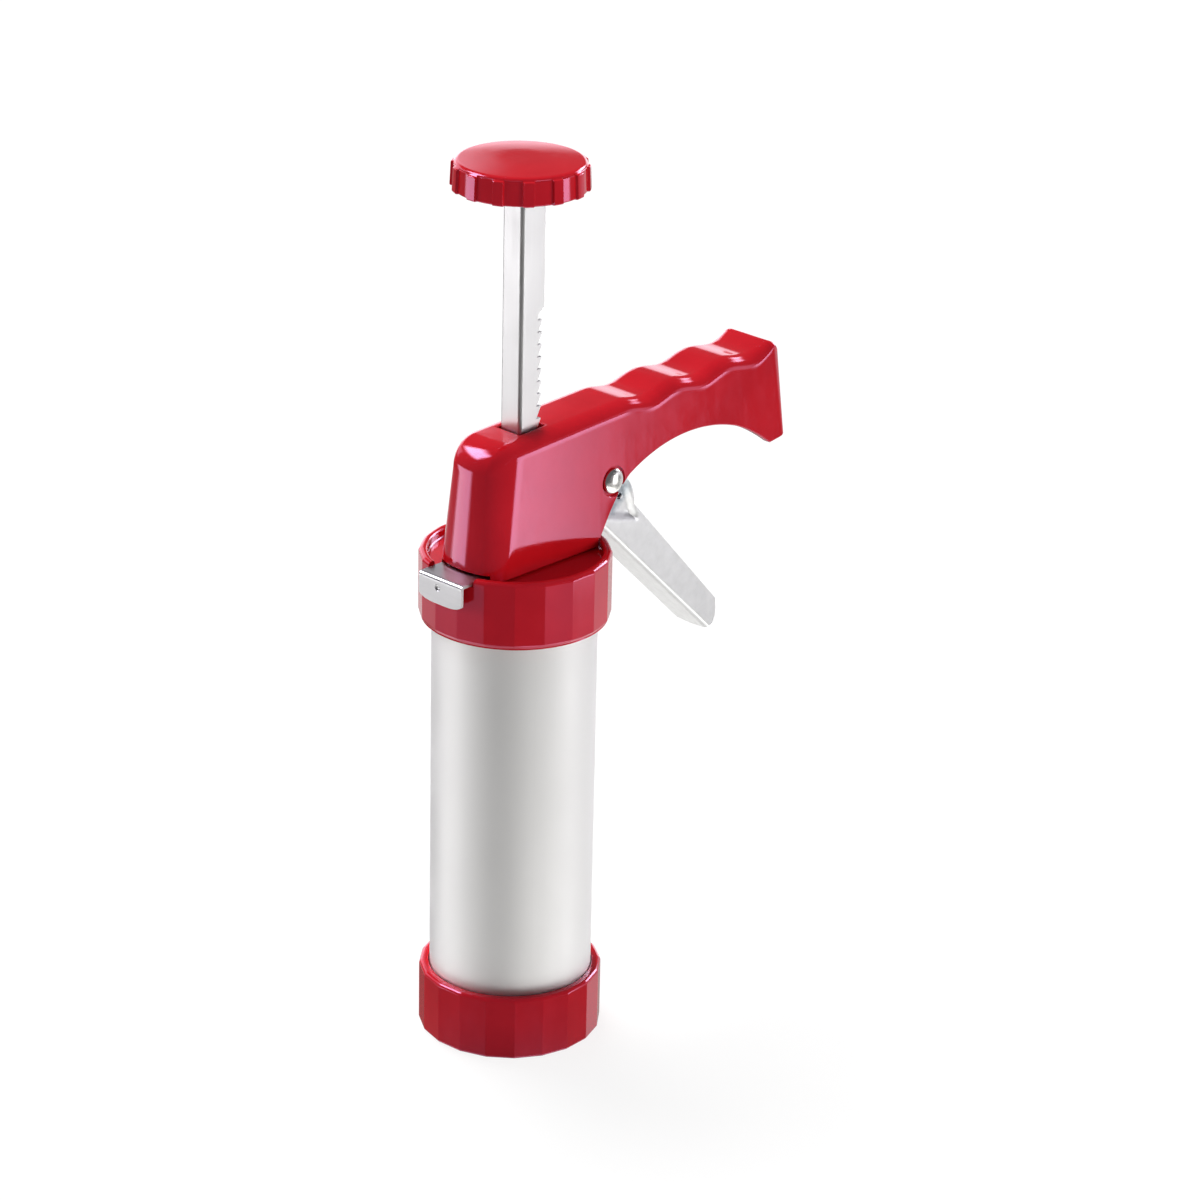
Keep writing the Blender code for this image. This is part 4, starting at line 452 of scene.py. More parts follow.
def new_object(name, data):
    thing = bpy.data.objects.new(name, data)
    bpy.context.scene.collection.objects.link(thing)
    thing.location = (AXIS_X, 0.0, 0.0)
    return thing


def new_piece(name, shape):
    return new_object(name, to_mesh(name, shape))


def apply_modifiers(thing):
    """Keep the mesh as its modifiers leave it."""
    graph = bpy.context.evaluated_depsgraph_get()
    mesh = bpy.data.meshes.new_from_object(thing.evaluated_get(graph), depsgraph=graph)
    spent = thing.data
    thing.modifiers.clear()
    thing.data = mesh
    bpy.data.meshes.remove(spent)


def boolean(thing, shape, operation="DIFFERENCE"):
    """Cut a shape out of a piece, or join it on."""
    tool = new_piece("tool", shape)
    modifier = thing.modifiers.new("tool", "BOOLEAN")
    modifier.operation = operation
    modifier.solver = "EXACT"
    modifier.object = tool
    bpy.context.view_layer.update()
    apply_modifiers(thing)
    spent = tool.data
    bpy.data.objects.remove(tool, do_unlink=True)
    bpy.data.meshes.remove(spent)


def soften(thing, width, segments=2, angle=EDGE_ANGLE):
    """Round the piece's sharp edges a little."""
    modifier = thing.modifiers.new("edges", "BEVEL")
    modifier.width = width
    modifier.segments = segments
    modifier.limit_method = "ANGLE"
    modifier.angle_limit = angle
    modifier.harden_normals = False
    apply_modifiers(thing)


def finish_piece(thing, node, body, material):
    """Shade the piece, give it its material and let it stand for its node."""
    if thing.type == "MESH":
        thing.data.shade_smooth()
        thing.data.set_sharp_from_angle(angle=SHARP_ANGLE)
        modifier = thing.modifiers.new("normals", "WEIGHTED_NORMAL")
        modifier.keep_sharp = True
    thing.data.materials.clear()
    thing.data.materials.append(material)
    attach(thing, body)
    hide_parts(node)


# Materials: tones are linear, scales are per metre and depths are in metres

RED_TONE = (0.54, 0.0065, 0.012)
RED_LIGHT_TONE = (0.63, 0.0095, 0.016)
RED_SPECK_TONE = (0.36, 0.004, 0.008)
RED_GLOSS_TINT = (1.0, 0.52, 0.92)
RED_IOR = 1.75
RED_ROUGHNESS = (0.07, 0.13)
RED_FLOW_SCALE = 55
RED_SPECK_SCALE = 2600
RED_SPECK_DEPTH = 0.00001
RED_RUB_SCALE = 420
RED_RUB_STRETCH = (1.0, 1.0, 0.25)
RED_PEEL_SCALE = 520
RED_PEEL_DEPTH = 0.000006
WHITE_TONE = (0.76, 0.76, 0.73)
WHITE_LIGHT_TONE = (0.82, 0.82, 0.80)
WHITE_ROUGHNESS = (0.30, 0.42)
WHITE_CLOUD_SCALE = 90
WHITE_GRAIN_SCALE = 900
WHITE_GRAIN_DEPTH = 0.00001
LEVER_TONE = (0.59, 0.595, 0.60)
LEVER_LIGHT_TONE = (0.64, 0.645, 0.65)
LEVER_ROUGHNESS = (0.34, 0.44)
LEVER_CLOUD_SCALE = 260
LEVER_RUB_SCALE = 700
LEVER_GRAIN_DEPTH = 0.000001
# Painted shade: darker, bluer tones for the lever's ears round the rivet, and the radii over which they
# fade in
EAR_PAINTED_SHADE_TONE = (0.26, 0.29, 0.32)
EAR_PAINTED_SHADE_LIGHT_TONE = (0.42, 0.46, 0.49)
EAR_PAINTED_SHADE_RADII = (0.0165, 0.0195)
EAR_PAINTED_SHADE_RAGGEDNESS = 0.004
TARNISH_SCALE = 70
TARNISH_SHARE = 0.6
DULLNESS_SHARES = (0.88, 1.15)
# Metals: tone, roughness, scales of the grain, its depth, cloudiness, and wear as added roughness
METALS = {
    "tube_aluminium": ((0.86, 0.86, 0.855), 0.58, (900, 900, 12), 0.000001, 0.012, 0.0),
    "disc_aluminium": ((0.80, 0.80, 0.79), 0.34, (60, 900, 900), 0.000003, 0.03, 0.0),
    "rod_steel": ((0.58, 0.58, 0.58), 0.36, (1100, 1100, 25), 0.000001, 0.03, 0.08),
    "rivet_steel": ((0.80, 0.79, 0.77), 0.24, (600, 600, 600), 0.000002, 0.04, 0.08),
    "spring_steel": ((0.50, 0.50, 0.51), 0.26, (700, 700, 700), 0.000004, 0.06, 0.0),
    "plate_steel": ((0.55, 0.55, 0.56), 0.32, (1400, 40, 1400), 0.0000008, 0.05, 0.1),
    "pawl_steel": ((0.55, 0.55, 0.56), 0.34, (500, 500, 500), 0.000005, 0.08, 0.1),
    "fastener_steel": ((0.66, 0.66, 0.67), 0.28, (500, 500, 500), 0.000004, 0.06, 0.0)}


def set_inputs(tree, node, inputs):
    """Each input is a value, a colour or another node's output."""
    for name, value in inputs.items():
        socket = node.inputs[name]
        if isinstance(value, bpy.types.NodeSocket):
            tree.links.new(value, socket)
        else:
            socket.default_value = (*value, 1.0) if socket.type == "RGBA" else value


def add_node(tree, kind, inputs=None, **settings):
    node = tree.nodes.new(kind)
    for name, value in settings.items():
        setattr(node, name, value)
    set_inputs(tree, node, inputs or {})
    return node


def maths(tree, operation, first, second=0.0):
    return add_node(tree, "ShaderNodeMath", {0: first, 1: second}, operation=operation).outputs[0]


def object_place(tree, stretch=(1.0, 1.0, 1.0)):
    """Object coordinates, stretched for a grain that runs one way."""
    place = add_node(tree, "ShaderNodeTexCoord").outputs["Object"]
    return add_node(tree, "ShaderNodeMapping", {"Vector": place, "Scale": stretch}).outputs[0]


def noise(tree, place, scale, detail=2.0, roughness=0.5):
    inputs = {"Vector": place, "Scale": scale, "Detail": detail, "Roughness": roughness}
    return add_node(tree, "ShaderNodeTexNoise", inputs).outputs[0]


def spread(tree, value, low, high, start=0.0, end=1.0, interpolation="LINEAR"):
    """Map a value from one range to another, clamped."""
    inputs = {"Value": value, "From Min": start, "From Max": end, "To Min": low, "To Max": high}
    return add_node(tree, "ShaderNodeMapRange", inputs, interpolation_type=interpolation).outputs[0]


def mix_colour(tree, share, first, second):
    inputs = {0: share, 6: first, 7: second}
    return add_node(tree, "ShaderNodeMix", inputs, data_type="RGBA").outputs[2]


def cloudy_colour(tree, cloud, low, high, first, second):
    """Two tones, parted softly where a noise passes from low to high."""
    return mix_colour(tree, spread(tree, cloud, 0.0, 1.0, low, high), first, second)


def bump(tree, height, depth, strength, below=None):
    inputs = {"Height": height, "Distance": depth, "Strength": strength}
    if below is not None:
        inputs["Normal"] = below
    return add_node(tree, "ShaderNodeBump", inputs).outputs[0]


def new_material(name):
    material = bpy.data.materials.new(name)
    material.use_nodes = True
    tree = material.node_tree
    return material, tree, tree.nodes["Principled BSDF"]


def red_plastic():
    """Glossy moulded plastic: cloudy flow, fine specks, a soft orange peel and faint rubbing."""
    material, tree, shader = new_material("red_plastic")
    place = object_place(tree)
    flow = noise(tree, place, RED_FLOW_SCALE, 3.0)
    colour = cloudy_colour(tree, flow, 0.3, 0.7, RED_TONE, RED_LIGHT_TONE)
    specks = spread(tree, noise(tree, place, RED_SPECK_SCALE, 1.0), 0.0, 0.35, 0.72, 0.80)
    rubbed = noise(tree, object_place(tree, RED_RUB_STRETCH), RED_RUB_SCALE, 4.0, 0.65)
    peel = bump(tree, noise(tree, place, RED_PEEL_SCALE), RED_PEEL_DEPTH, 0.3)
    set_inputs(tree, shader, {
        "Base Color": mix_colour(tree, specks, colour, RED_SPECK_TONE),
        "Roughness": spread(tree, rubbed, *RED_ROUGHNESS, 0.35, 0.75),
        "Normal": bump(tree, specks, RED_SPECK_DEPTH, 0.15, peel),
        "IOR": RED_IOR,
        "Specular Tint": RED_GLOSS_TINT})
    return material


def metal(name):
    """Metal with a fine grain along one axis, cloudy tarnish and, where it has wear, rubbed streaks."""
    tone, roughness, grain, grain_depth, cloud, wear = METALS[name]
    material, tree, shader = new_material(name)
    lines = noise(tree, object_place(tree, grain), 1.0, 3.0, 0.6)
    clouds = noise(tree, object_place(tree), TARNISH_SCALE, 3.0, 0.55)
    dark = tuple(c * (1 - cloud) for c in tone)
    light = tuple(min(c * (1 + cloud), 1.0) for c in tone)
    mixed = maths(tree, "ADD", maths(tree, "MULTIPLY", clouds, TARNISH_SHARE),
                  maths(tree, "MULTIPLY", lines, 1 - TARNISH_SHARE))
    bright, dull = (roughness * share for share in DULLNESS_SHARES)
    rough = spread(tree, mixed, bright, dull, 0.3, 0.7)
    if wear:
        streaks = noise(tree, object_place(tree, tuple(g / 6 for g in grain)), 1.0, 5.0, 0.7)
        rough = maths(tree, "ADD", rough, spread(tree, streaks, 0.0, wear, 0.55, 0.75))
    set_inputs(tree, shader, {
        "Base Color": cloudy_colour(tree, mixed, 0.35, 0.65, dark, light),
        "Roughness": rough,
        "Normal": bump(tree, lines, grain_depth, 0.5),
        "Metallic": 1.0})
    return material


def lever_metal():
    """The lever's steel, with painted shade: the ears round the rivet are drawn darker and bluer."""
    material, tree, shader = new_material("lever_steel")
    place = object_place(tree)
    clouds = noise(tree, place, LEVER_CLOUD_SCALE, 4.0, 0.6)
    from_rivet = {0: place, 1: (RIVET_X, 0.0, RIVET_Z)}
    away = add_node(tree, "ShaderNodeVectorMath", from_rivet, operation="DISTANCE").outputs["Value"]
    ragged = maths(tree, "ADD", away, maths(tree, "MULTIPLY", clouds, EAR_PAINTED_SHADE_RAGGEDNESS))
    # Painted shade: within these radii of the rivet the ears are drawn darker and bluer
    ear_shade_mask = spread(tree, ragged, 1.0, 0.0, *EAR_PAINTED_SHADE_RADII)
    plain = cloudy_colour(tree, clouds, 0.35, 0.65, LEVER_TONE, LEVER_LIGHT_TONE)
    painted_shade_tone = cloudy_colour(tree, clouds, 0.40, 0.62, EAR_PAINTED_SHADE_TONE, EAR_PAINTED_SHADE_LIGHT_TONE)
    rubbed = noise(tree, place, LEVER_RUB_SCALE, 3.0)
    set_inputs(tree, shader, {
        "Base Color": mix_colour(tree, ear_shade_mask, plain, painted_shade_tone),
        "Roughness": spread(tree, rubbed, *LEVER_ROUGHNESS, 0.3, 0.7),
        "Normal": bump(tree, clouds, LEVER_GRAIN_DEPTH, 0.5),
        "Metallic": 1.0})
    return material


def white_plastic():
    material, tree, shader = new_material("piston_plastic")
    place = object_place(tree)
    cloud = noise(tree, place, WHITE_CLOUD_SCALE, 3.0)
    set_inputs(tree, shader, {
        "Base Color": mix_colour(tree, cloud, WHITE_TONE, WHITE_LIGHT_TONE),
        "Roughness": spread(tree, cloud, *WHITE_ROUGHNESS),
        "Normal": bump(tree, noise(tree, place, WHITE_GRAIN_SCALE), WHITE_GRAIN_DEPTH, 0.3)})
    return material


# Rings and barrel

def ring_loop(radius, z, flatness, first_corner):
    """A ring's outline, from round (0) to ground flats with slightly rounded corners (1)."""
    half = math.pi / RING_FACETS
    inner = (radius * math.cos(half) - FACET_ROUND) / math.cos(half)
    plan = []
    for facet in range(RING_FACETS):
        corner = first_corner + facet * 2 * half
        for i in range(FACET_ARC_STEPS + 1):
            normal = corner + half * (2 * i / FACET_ARC_STEPS - 1)
            plan.append((inner * math.cos(corner) + FACET_ROUND * math.cos(normal),
                         inner * math.sin(corner) + FACET_ROUND * math.sin(normal)))
        start, following = plan[-1], corner + 2 * half
        end = (inner * math.cos(following) + FACET_ROUND * math.cos(corner + half),
               inner * math.sin(following) + FACET_ROUND * math.sin(corner + half))
        for i in range(1, FACET_FLAT_STEPS):
            share = i / FACET_FLAT_STEPS
            plan.append((lerp(start[0], end[0], share), lerp(start[1], end[1], share)))
    points = []
    round_radius = radius * math.cos(half) if flatness else radius
    for x, y in plan:
        scale = lerp(round_radius / math.hypot(x, y), 1.0, flatness)
        points.append((x * scale, y * scale, z))
    return points


def ring_shoulder(radius, top):
    """Rows of a ring's upper round, over which its flats grow fainter."""
    low = top - RING_SHOULDER
    rows = arc((radius - RING_SHOULDER, low), RING_SHOULDER, 0, 90, ARC_STEPS + 2)
    return [(r, z, lerp(1.0, 0.5, (z - low) / RING_SHOULDER)) for r, z in rows]


def helix(radii_and_halves, start_z, turns):
    """A thread's body: a section of (radius, half height) pairs carried up a helix."""
    loops = []
    (inner, inner_half), (outer, outer_half) = radii_and_halves
    section = ((inner, -inner_half), (outer, -outer_half), (outer, outer_half), (inner, inner_half))
    for i in range(round(turns * HELIX_STEPS) + 1):
        angle = i * math.tau / HELIX_STEPS
        middle = start_z + THREAD_PITCH * angle / math.tau
        loops.append([(r * math.cos(angle), r * math.sin(angle), middle + dz) for r, dz in section])
    return loft(loops)


def make_barrel(material):
    inner = TUBE_RADIUS - TUBE_WALL
    edge = TUBE_EDGE
    profile = []
    for (r, z), start in (((inner, TUBE_Z), 180), ((TUBE_RADIUS, TUBE_Z), 270),
                          ((TUBE_RADIUS, TUBE_TOP_Z), 0), ((inner, TUBE_TOP_Z), 90)):
        centre = (r + edge if r == inner else r - edge, z + edge if z == TUBE_Z else z - edge)
        profile += arc(centre, edge, start, start + 90, 2)
    tube = new_piece("barrel_tube", turned(profile, TUBE_STEPS, closed=True))
    outer = TUBE_RADIUS + THREAD_CLEARANCE
    slope = (GROOVE_MOUTH_HALF - GROOVE_ROOT_HALF) / THREAD_DEPTH
    mouth_half = GROOVE_ROOT_HALF + (outer - THREAD_ROOT) * slope
    section = ((THREAD_ROOT, GROOVE_ROOT_HALF), (outer, mouth_half))
    upper_start = TUBE_TOP_Z + THREAD_PITCH / 2 - GROOVE_TURNS * THREAD_PITCH
    for start_z in (TUBE_Z - THREAD_PITCH / 2, upper_start):
        boolean(tube, helix(section, start_z, GROOVE_TURNS))
    finish_piece(tube, "barrel", "barrel", material)


def petal_loop(turn, z, grow):
    """A slot with round ends that points away from the middle."""
    half = PETAL_HALF_WIDTH + grow
    ends = arc((PETAL_OUTER_RADIUS, 0.0), half, -90, 90, SMALL_STEPS // 2)
    ends += arc((PETAL_INNER_RADIUS, 0.0), half, 90, 270, SMALL_STEPS // 2)
    cos, sin = math.cos(turn), math.sin(turn)
    return [(x * cos - y * sin, x * sin + y * cos, z) for x, y in ends]


def make_pattern_disc(material):
    corner, far_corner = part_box("pattern_disc")
    low, high, radius = corner.z, far_corner.z, (far_corner.x - corner.x) / 2
    edge = DISC_EDGE
    profile = ((radius - edge, low), (radius, low + edge), (radius, high - edge), (radius - edge, high))
    disc = new_piece("pierced_disc", turned(profile, TURN_STEPS))
    levels = ((low - CUT_OVERRUN, edge), (low, edge), (low + edge, 0.0),
              (high - edge, 0.0), (high, edge), (high + CUT_OVERRUN, edge))
    holes = bmesh.new()
    add_loft(holes, [circle(DISC_EYE_RADIUS + grow, z, SMALL_STEPS) for z, grow in levels])
    for petal in range(DISC_PETALS):
        add_loft(holes, [petal_loop(petal * math.tau / DISC_PETALS, z, grow) for z, grow in levels])
    boolean(disc, holes)
    finish_piece(disc, "pattern_disc", "disc", material)


def make_bottom_ring(material):
    radius, top = BOTTOM_RING_RADIUS, BOTTOM_RING_HEIGHT
    small = RING_INNER_ROUND
    foot = arc((radius - RING_FOOT_ROUND, RING_FOOT_ROUND), RING_FOOT_ROUND, -90, 0, ARC_STEPS)
    profile = [(DOUGH_OPENING_RADIUS, small, 0.0), (DOUGH_OPENING_RADIUS + small, 0.0, 0.0)]
    profile += [(r, z, 1.0) for r, z in foot] + ring_shoulder(radius, top)
    profile += [(THREAD_BORE + small, top, 0.0), (THREAD_BORE + small / 4, top - small / 4, 0.0),
                (THREAD_BORE, top - small, 0.0), (THREAD_BORE, BOTTOM_LIP_HEIGHT, 0.0),
                (DOUGH_OPENING_RADIUS + small, BOTTOM_LIP_HEIGHT, 0.0),
                (DOUGH_OPENING_RADIUS, BOTTOM_LIP_HEIGHT - small, 0.0)]
    loops = [ring_loop(r, z, flat, BOTTOM_RING_FIRST_CORNER) for r, z, flat in profile]
    ring = new_piece("screw_ring", loft(loops, closed=True))
    finish_piece(ring, "bottom_ring", "bottom_ring", material)


def make_head_cap(material):
    radius, small = HEAD_CAP_RADIUS, RING_INNER_ROUND
    foot_r, foot_z = radius - RING_FOOT_ROUND, CAP_SKIRT_Z
    profile = [(THREAD_BORE, CAP_FLOOR_Z, 0.0), (THREAD_BORE, foot_z + small, 0.0),
               (THREAD_BORE + small, foot_z, 0.0), (foot_r, foot_z, 0.0)]
    for i in range(1, ARC_STEPS + 1):
        share = i / ARC_STEPS
        rise = RING_FOOT_ROUND * 2 * share
        profile.append((lerp(foot_r, radius, math.sin(share * math.pi / 2)), foot_z + rise, share ** 2))
    profile += ring_shoulder(radius, CAP_RIM_Z)
    lip = (RIM_INNER_RADIUS + RECESS_RADIUS) / 2
    profile += [(RIM_INNER_RADIUS, CAP_RIM_Z, 0.0), (lip, CAP_RIM_Z - RING_SHOULDER / 8, 0.0),
                (RECESS_RADIUS, CAP_RIM_Z - RING_SHOULDER / 2, 0.0),
                (RECESS_RADIUS, CAP_TOP_Z + small, 0.0), (RECESS_RADIUS - small, CAP_TOP_Z, 0.0)]
    loops = [ring_loop(r, z, flat, HEAD_CAP_FIRST_CORNER) for r, z, flat in profile]
    cap = new_piece("cap", loft(loops))
    boolean(cap, cap_fittings(), "UNION")
    boolean(cap, cap_cuts())
    finish_piece(cap, "head_cap", "head", material)


def rod_corners(gap, low, high):
    """Two corners of a block that holds the rod with a gap round it."""
    half = ROD_HALF_WIDTH + gap
    return (ROD_FRONT_X - gap, -half, low), (ROD_REAR_X + gap, half, high)


def cap_fittings():
    """Slide rails, and the post of the release spring."""
    under = (CAP_FLOOR_Z + CAP_TOP_Z) / 2
    rail_top = PLATE_Z - SEAT_GAP
    outer = PLATE_WINDOW_HALF - RUNNING_GAP
    start = PLATE_NECK_END_X + PLATE_TRAVEL
    post = PLATE_END_X + 2 * SEAT_GAP + RELEASE_COIL_LENGTH
    post_top = PLATE_TOP_Z + PLATE_LIP_HEIGHT
    return blocks(
        ((start, outer - RAIL_WIDTH, under), (PLATE_END_X, outer, rail_top)),
        ((start, -outer, under), (PLATE_END_X, RAIL_WIDTH - outer, rail_top)),
        ((post, -SPRING_POST_HALF, under), (post + SPRING_POST_THICKNESS, SPRING_POST_HALF, post_top)))


def cap_cuts():
    """Rod hole, screw holes and the notch that the plate's tab comes out of."""
    gap = ROD_SLOT_GAP
    low, high = CAP_FLOOR_Z - CUT_OVERRUN, CAP_TOP_Z + NOTCH_STEP / 2
    reach = HEAD_CAP_RADIUS + CUT_OVERRUN
    shape = blocks(
        rod_corners(gap, low, high),
        ((-reach, -NOTCH_HALF_WIDTH, CAP_TOP_Z + NOTCH_STEP),
         (HOUSING_FRONT_X + HOUSING_WALL, NOTCH_HALF_WIDTH, CAP_RIM_Z + CUT_OVERRUN)))
    add_screw_bars(shape, HEAD_SCREW_RADIUS + RUNNING_GAP, (low, high))
    return shape


# Housing

def throat_outline():
    """Rear edge of the side wall, a smooth curve from the base up to the grip's arc."""
    run = THROAT_END_X - THROAT_START_X
    rise = grip_arc_z(THROAT_END_X) - HOUSING_Z
    points = []
    for i in range(THROAT_STEPS + 1):
        t = i / THROAT_STEPS
        weights = ((1 - t) ** 3, 3 * t * (1 - t) ** 2, 3 * t * t * (1 - t), t ** 3)
        along, up = (sum(w * shares[axis] for w, shares in zip(weights, THROAT_SHARES))
                     for axis in (0, 1))
        points.append((THROAT_START_X + along * run, HOUSING_Z + up * rise))
    return points


def grip_arc_z(x):
    """Underside of the grip, an arc over the fingers that ends in a flat tip."""
    crown = HOUSING_Z + GRIP_ARC_RISE
    off = min(x, GRIP_TIP_X) - GRIP_ARC_CENTRE_X
    arc_z = crown - GRIP_ARC_RADIUS + math.sqrt(GRIP_ARC_RADIUS ** 2 - off ** 2)
    return arc_z + max(x - GRIP_TIP_X, 0.0) * GRIP_TIP_SLOPE


def table_value(table, x):
    """Straight lines between the points of a table."""
    for (x0, y0), (x1, y1) in zip(table, table[1:]):
        if x <= x1:
            return lerp(y0, y1, (x - x0) / (x1 - x0))
    return table[-1][1]


def underside_z(x):
    """Lower edge of the housing's wall at a distance from the barrel's axis."""
    if x <= THROAT_START_X:
        return HOUSING_Z
    if x >= THROAT_END_X:
        return grip_arc_z(x)
    return table_value(throat_outline(), x)


def valley_drop(x):
    """How far the finger valleys lie below the top: a smooth fall, then a smooth rise."""
    share = (x - VALLEY_START_X) / VALLEY_PITCH
    if share <= 0.0 or share >= VALLEY_COUNT:
        return 0.0
    part = share % 1.0
    if part < VALLEY_FALL_SHARE:
        return VALLEY_DEPTH * math.sin(part / VALLEY_FALL_SHARE * math.pi / 2) ** 2
    rest = (part - VALLEY_FALL_SHARE) / (1 - VALLEY_FALL_SHARE)
    return VALLEY_DEPTH * math.cos(rest * math.pi / 2) ** 2


def top_z(x):
    return HOUSING_TOP_Z + x * HOUSING_TOP_SLOPE - valley_drop(x)


def plan_corner_centre():
    """Centre of the front corner's arc, which meets the bowed front smoothly."""
    reach = HOUSING_BOW_RADIUS - HOUSING_CORNER_RADIUS
    y = HOUSING_HALF_WIDTH - HOUSING_CORNER_RADIUS
    turn = math.asin(y / reach)
    return (HOUSING_FRONT_X + HOUSING_BOW_RADIUS - reach * math.cos(turn), y, turn)


def side_stations():
    """Places along the straight side, close together where its edges curve."""
    corner_end = plan_corner_centre()[0]
    front = [lerp(corner_end, THROAT_START_X, i / FRONT_SIDE_STEPS) for i in range(1, FRONT_SIDE_STEPS)]
    throat = [x for x, _ in throat_outline()]
    valley_step = VALLEY_PITCH / VALLEY_STEPS
    last = GRIP_END_X - GRIP_END_RADIUS - valley_step / 2
    x = VALLEY_START_X + (math.ceil((THROAT_END_X - VALLEY_START_X) / valley_step) + 0.25) * valley_step
    grip = []
    while x < last:
        grip.append(x)
        x += valley_step
    return front + throat + grip


def plan_arc(centre, radius, facing, turns, steps):
    """Stations round an upright edge, as (x, y, outward x, outward y). Facing is -1 for the front."""
    stations = []
    for i in range(steps + 1):
        angle = lerp(*turns, i / steps)
        nx, ny = facing * math.cos(angle), math.sin(angle)
        stations.append((centre[0] + radius * nx, centre[1] + radius * ny, nx, ny))
    return stations


def housing_plan(inset):
    """Stations of half of the housing's outline from above, from the front to the grip's end."""
    corner_x, corner_y, bow_turn = plan_corner_centre()
    bow_centre = (HOUSING_FRONT_X + HOUSING_BOW_RADIUS, 0.0)
    end_x, end_y = GRIP_END_X - GRIP_END_RADIUS, HOUSING_HALF_WIDTH - GRIP_END_RADIUS
    square = math.pi / 2
    plan = plan_arc(bow_centre, HOUSING_BOW_RADIUS - inset, -1, (0.0, bow_turn), BOW_STEPS)
    corner_radius = HOUSING_CORNER_RADIUS - inset
    plan += plan_arc((corner_x, corner_y), corner_radius, -1, (bow_turn, square), CORNER_STEPS)[1:]
    plan += [(x, HOUSING_HALF_WIDTH - inset, 0.0, 1.0) for x in side_stations()]
    plan += plan_arc((end_x, end_y), GRIP_END_RADIUS - inset, 1, (square, 0.0), GRIP_CORNER_STEPS)
    for i in range(1, GRIP_END_STEPS + 1):
        plan.append((GRIP_END_X - inset, lerp(end_y, 0.0, i / GRIP_END_STEPS), 1.0, 0.0))
    return plan


def housing_half_width(z, inset=0.0):
    """Half width of the housing's side walls at a height."""
    return HOUSING_HALF_WIDTH - SIDE_DRAFT * (z - HOUSING_Z) - inset


def fillet_drop(radius, distance):
    """How far a rounded edge lies below the top at a distance from the wall."""
    off = min(max(radius - distance, 0.0), radius)
    return radius - math.sqrt(radius ** 2 - off ** 2)


def grip_end_z(x, y, inset):
    """Height of the skin near the grip's end, where the side fillets run out through the end's edge."""
    side = max(side_fillet(x) - inset, SEAT_GAP)
    end = max(GRIP_END_FILLET - inset, SEAT_GAP)
    crown = top_z(x) - inset
    edge_y = housing_half_width(crown - side, inset)
    edge_x = GRIP_END_X - inset - GRIP_END_DRAFT * (crown - end - HOUSING_Z)
    return crown - fillet_drop(side, edge_y - abs(y)) - fillet_drop(end, edge_x - x)


def side_fillet(x):
    """Radius of the top's side edge, which runs out to almost nothing at the grip's end."""
    share = (x - SIDE_FILLET_FADE_X) / (GRIP_END_X - SIDE_FILLET_FADE_X)
    return lerp(SIDE_FILLET, SIDE_FILLET_END, smooth_share(share))


def front_fillet(index, x, inset, fillet_steps):
    """Fillet rows of the front: a bowed edge that turns into the side's through a rounded corner."""
    front, side = FRONT_FILLET - inset, SIDE_FILLET - inset
    half = min(index / BOW_STEPS, 1.0)
    turn = clamp((index - BOW_STEPS) / CORNER_STEPS) * math.pi / 2
    radius = lerp(side, front, math.cos(turn) ** 2)
    crown = top_z(x) - inset
    low = crown - radius
    side_y = housing_half_width(low, inset) - side
    front_x = HOUSING_FRONT_X + inset + FRONT_DRAFT * (low - HOUSING_Z)
    corner_end = plan_corner_centre()[0]
    share = clamp((x - corner_end) / (THROAT_START_X - corner_end))
    slide = lerp(front_x + front + bow_sag(side_y + side), THROAT_START_X, share)
    points = []
    for i in range(fillet_steps + 1):
        angle = i / fillet_steps * math.pi / 2
        out = math.cos(angle)
        py = side_y * half + side * out * math.sin(turn)
        px = front_x + front * (1 - out * math.cos(turn)) + bow_sag(py)
        if index > BOW_STEPS + CORNER_STEPS:
            px = slide
        settle = lerp(crown, top_z(px) - inset, i / fillet_steps)
        points.append((px, py, settle - radius + radius * math.sin(angle)))
    return points


def bow_sag(y):
    """How far the bowed front falls back at a distance from the middle."""
    return HOUSING_BOW_RADIUS - math.sqrt(HOUSING_BOW_RADIUS ** 2 - y ** 2)


def end_slant(x, z):
    """How far the leaning end draws the rear columns forward at a height."""
    share = (x - GRIP_SLANT_X) / (GRIP_END_X - GRIP_END_RADIUS - GRIP_SLANT_X)
    return GRIP_END_DRAFT * clamp(share) * (z - HOUSING_Z)


def wall_point(station, z, off=0.0):
    """A point of the drafted wall, moved inward by a small distance."""
    x, y, nx, ny = station
    lean = SIDE_DRAFT * (z - HOUSING_Z)
    if nx < 0:
        lean = (FRONT_DRAFT * nx * nx + SIDE_DRAFT * ny * ny) * (z - HOUSING_Z)
        return (x - nx * (lean + off), y - ny * (lean + off), z)
    return (x - end_slant(x, z) - nx * off, y - ny * (lean + off), z)


def housing_column(index, station, inset, fillet_steps, foot_round):
    """One upright row of points: the foot's edge, the wall, then the fillet to the top."""
    x, _, nx, ny = station
    start = underside_z(x)
    points = []
    if foot_round:
        for off, lift in arc((foot_round, foot_round), foot_round, 270, 180, LOWER_EDGE_STEPS)[:-1]:
            points.append(wall_point(station, start + lift, off))
    points.append(wall_point(station, start + foot_round))
    if x < THROAT_START_X - SEAT_GAP:
        return points + front_fillet(index, x, inset, fillet_steps)
    top_x = x - end_slant(x, top_z(x))
    crown = top_z(top_x) - inset
    fillet = max(lerp(side_fillet(top_x), GRIP_END_FILLET, nx * nx) - inset, SEAT_GAP)
    edge_x, edge_y, edge_z = wall_point(station, crown - fillet)
    for i in range(fillet_steps + 1):
        angle = i / fillet_steps * math.pi / 2
        off = fillet * (1 - math.cos(angle))
        px, py = edge_x - nx * off, edge_y - ny * off
        pz = edge_z + fillet * math.sin(angle)
        if nx > 0:
            pz = grip_end_z(px, py, inset)
        points.append((px, py, pz))
    return points


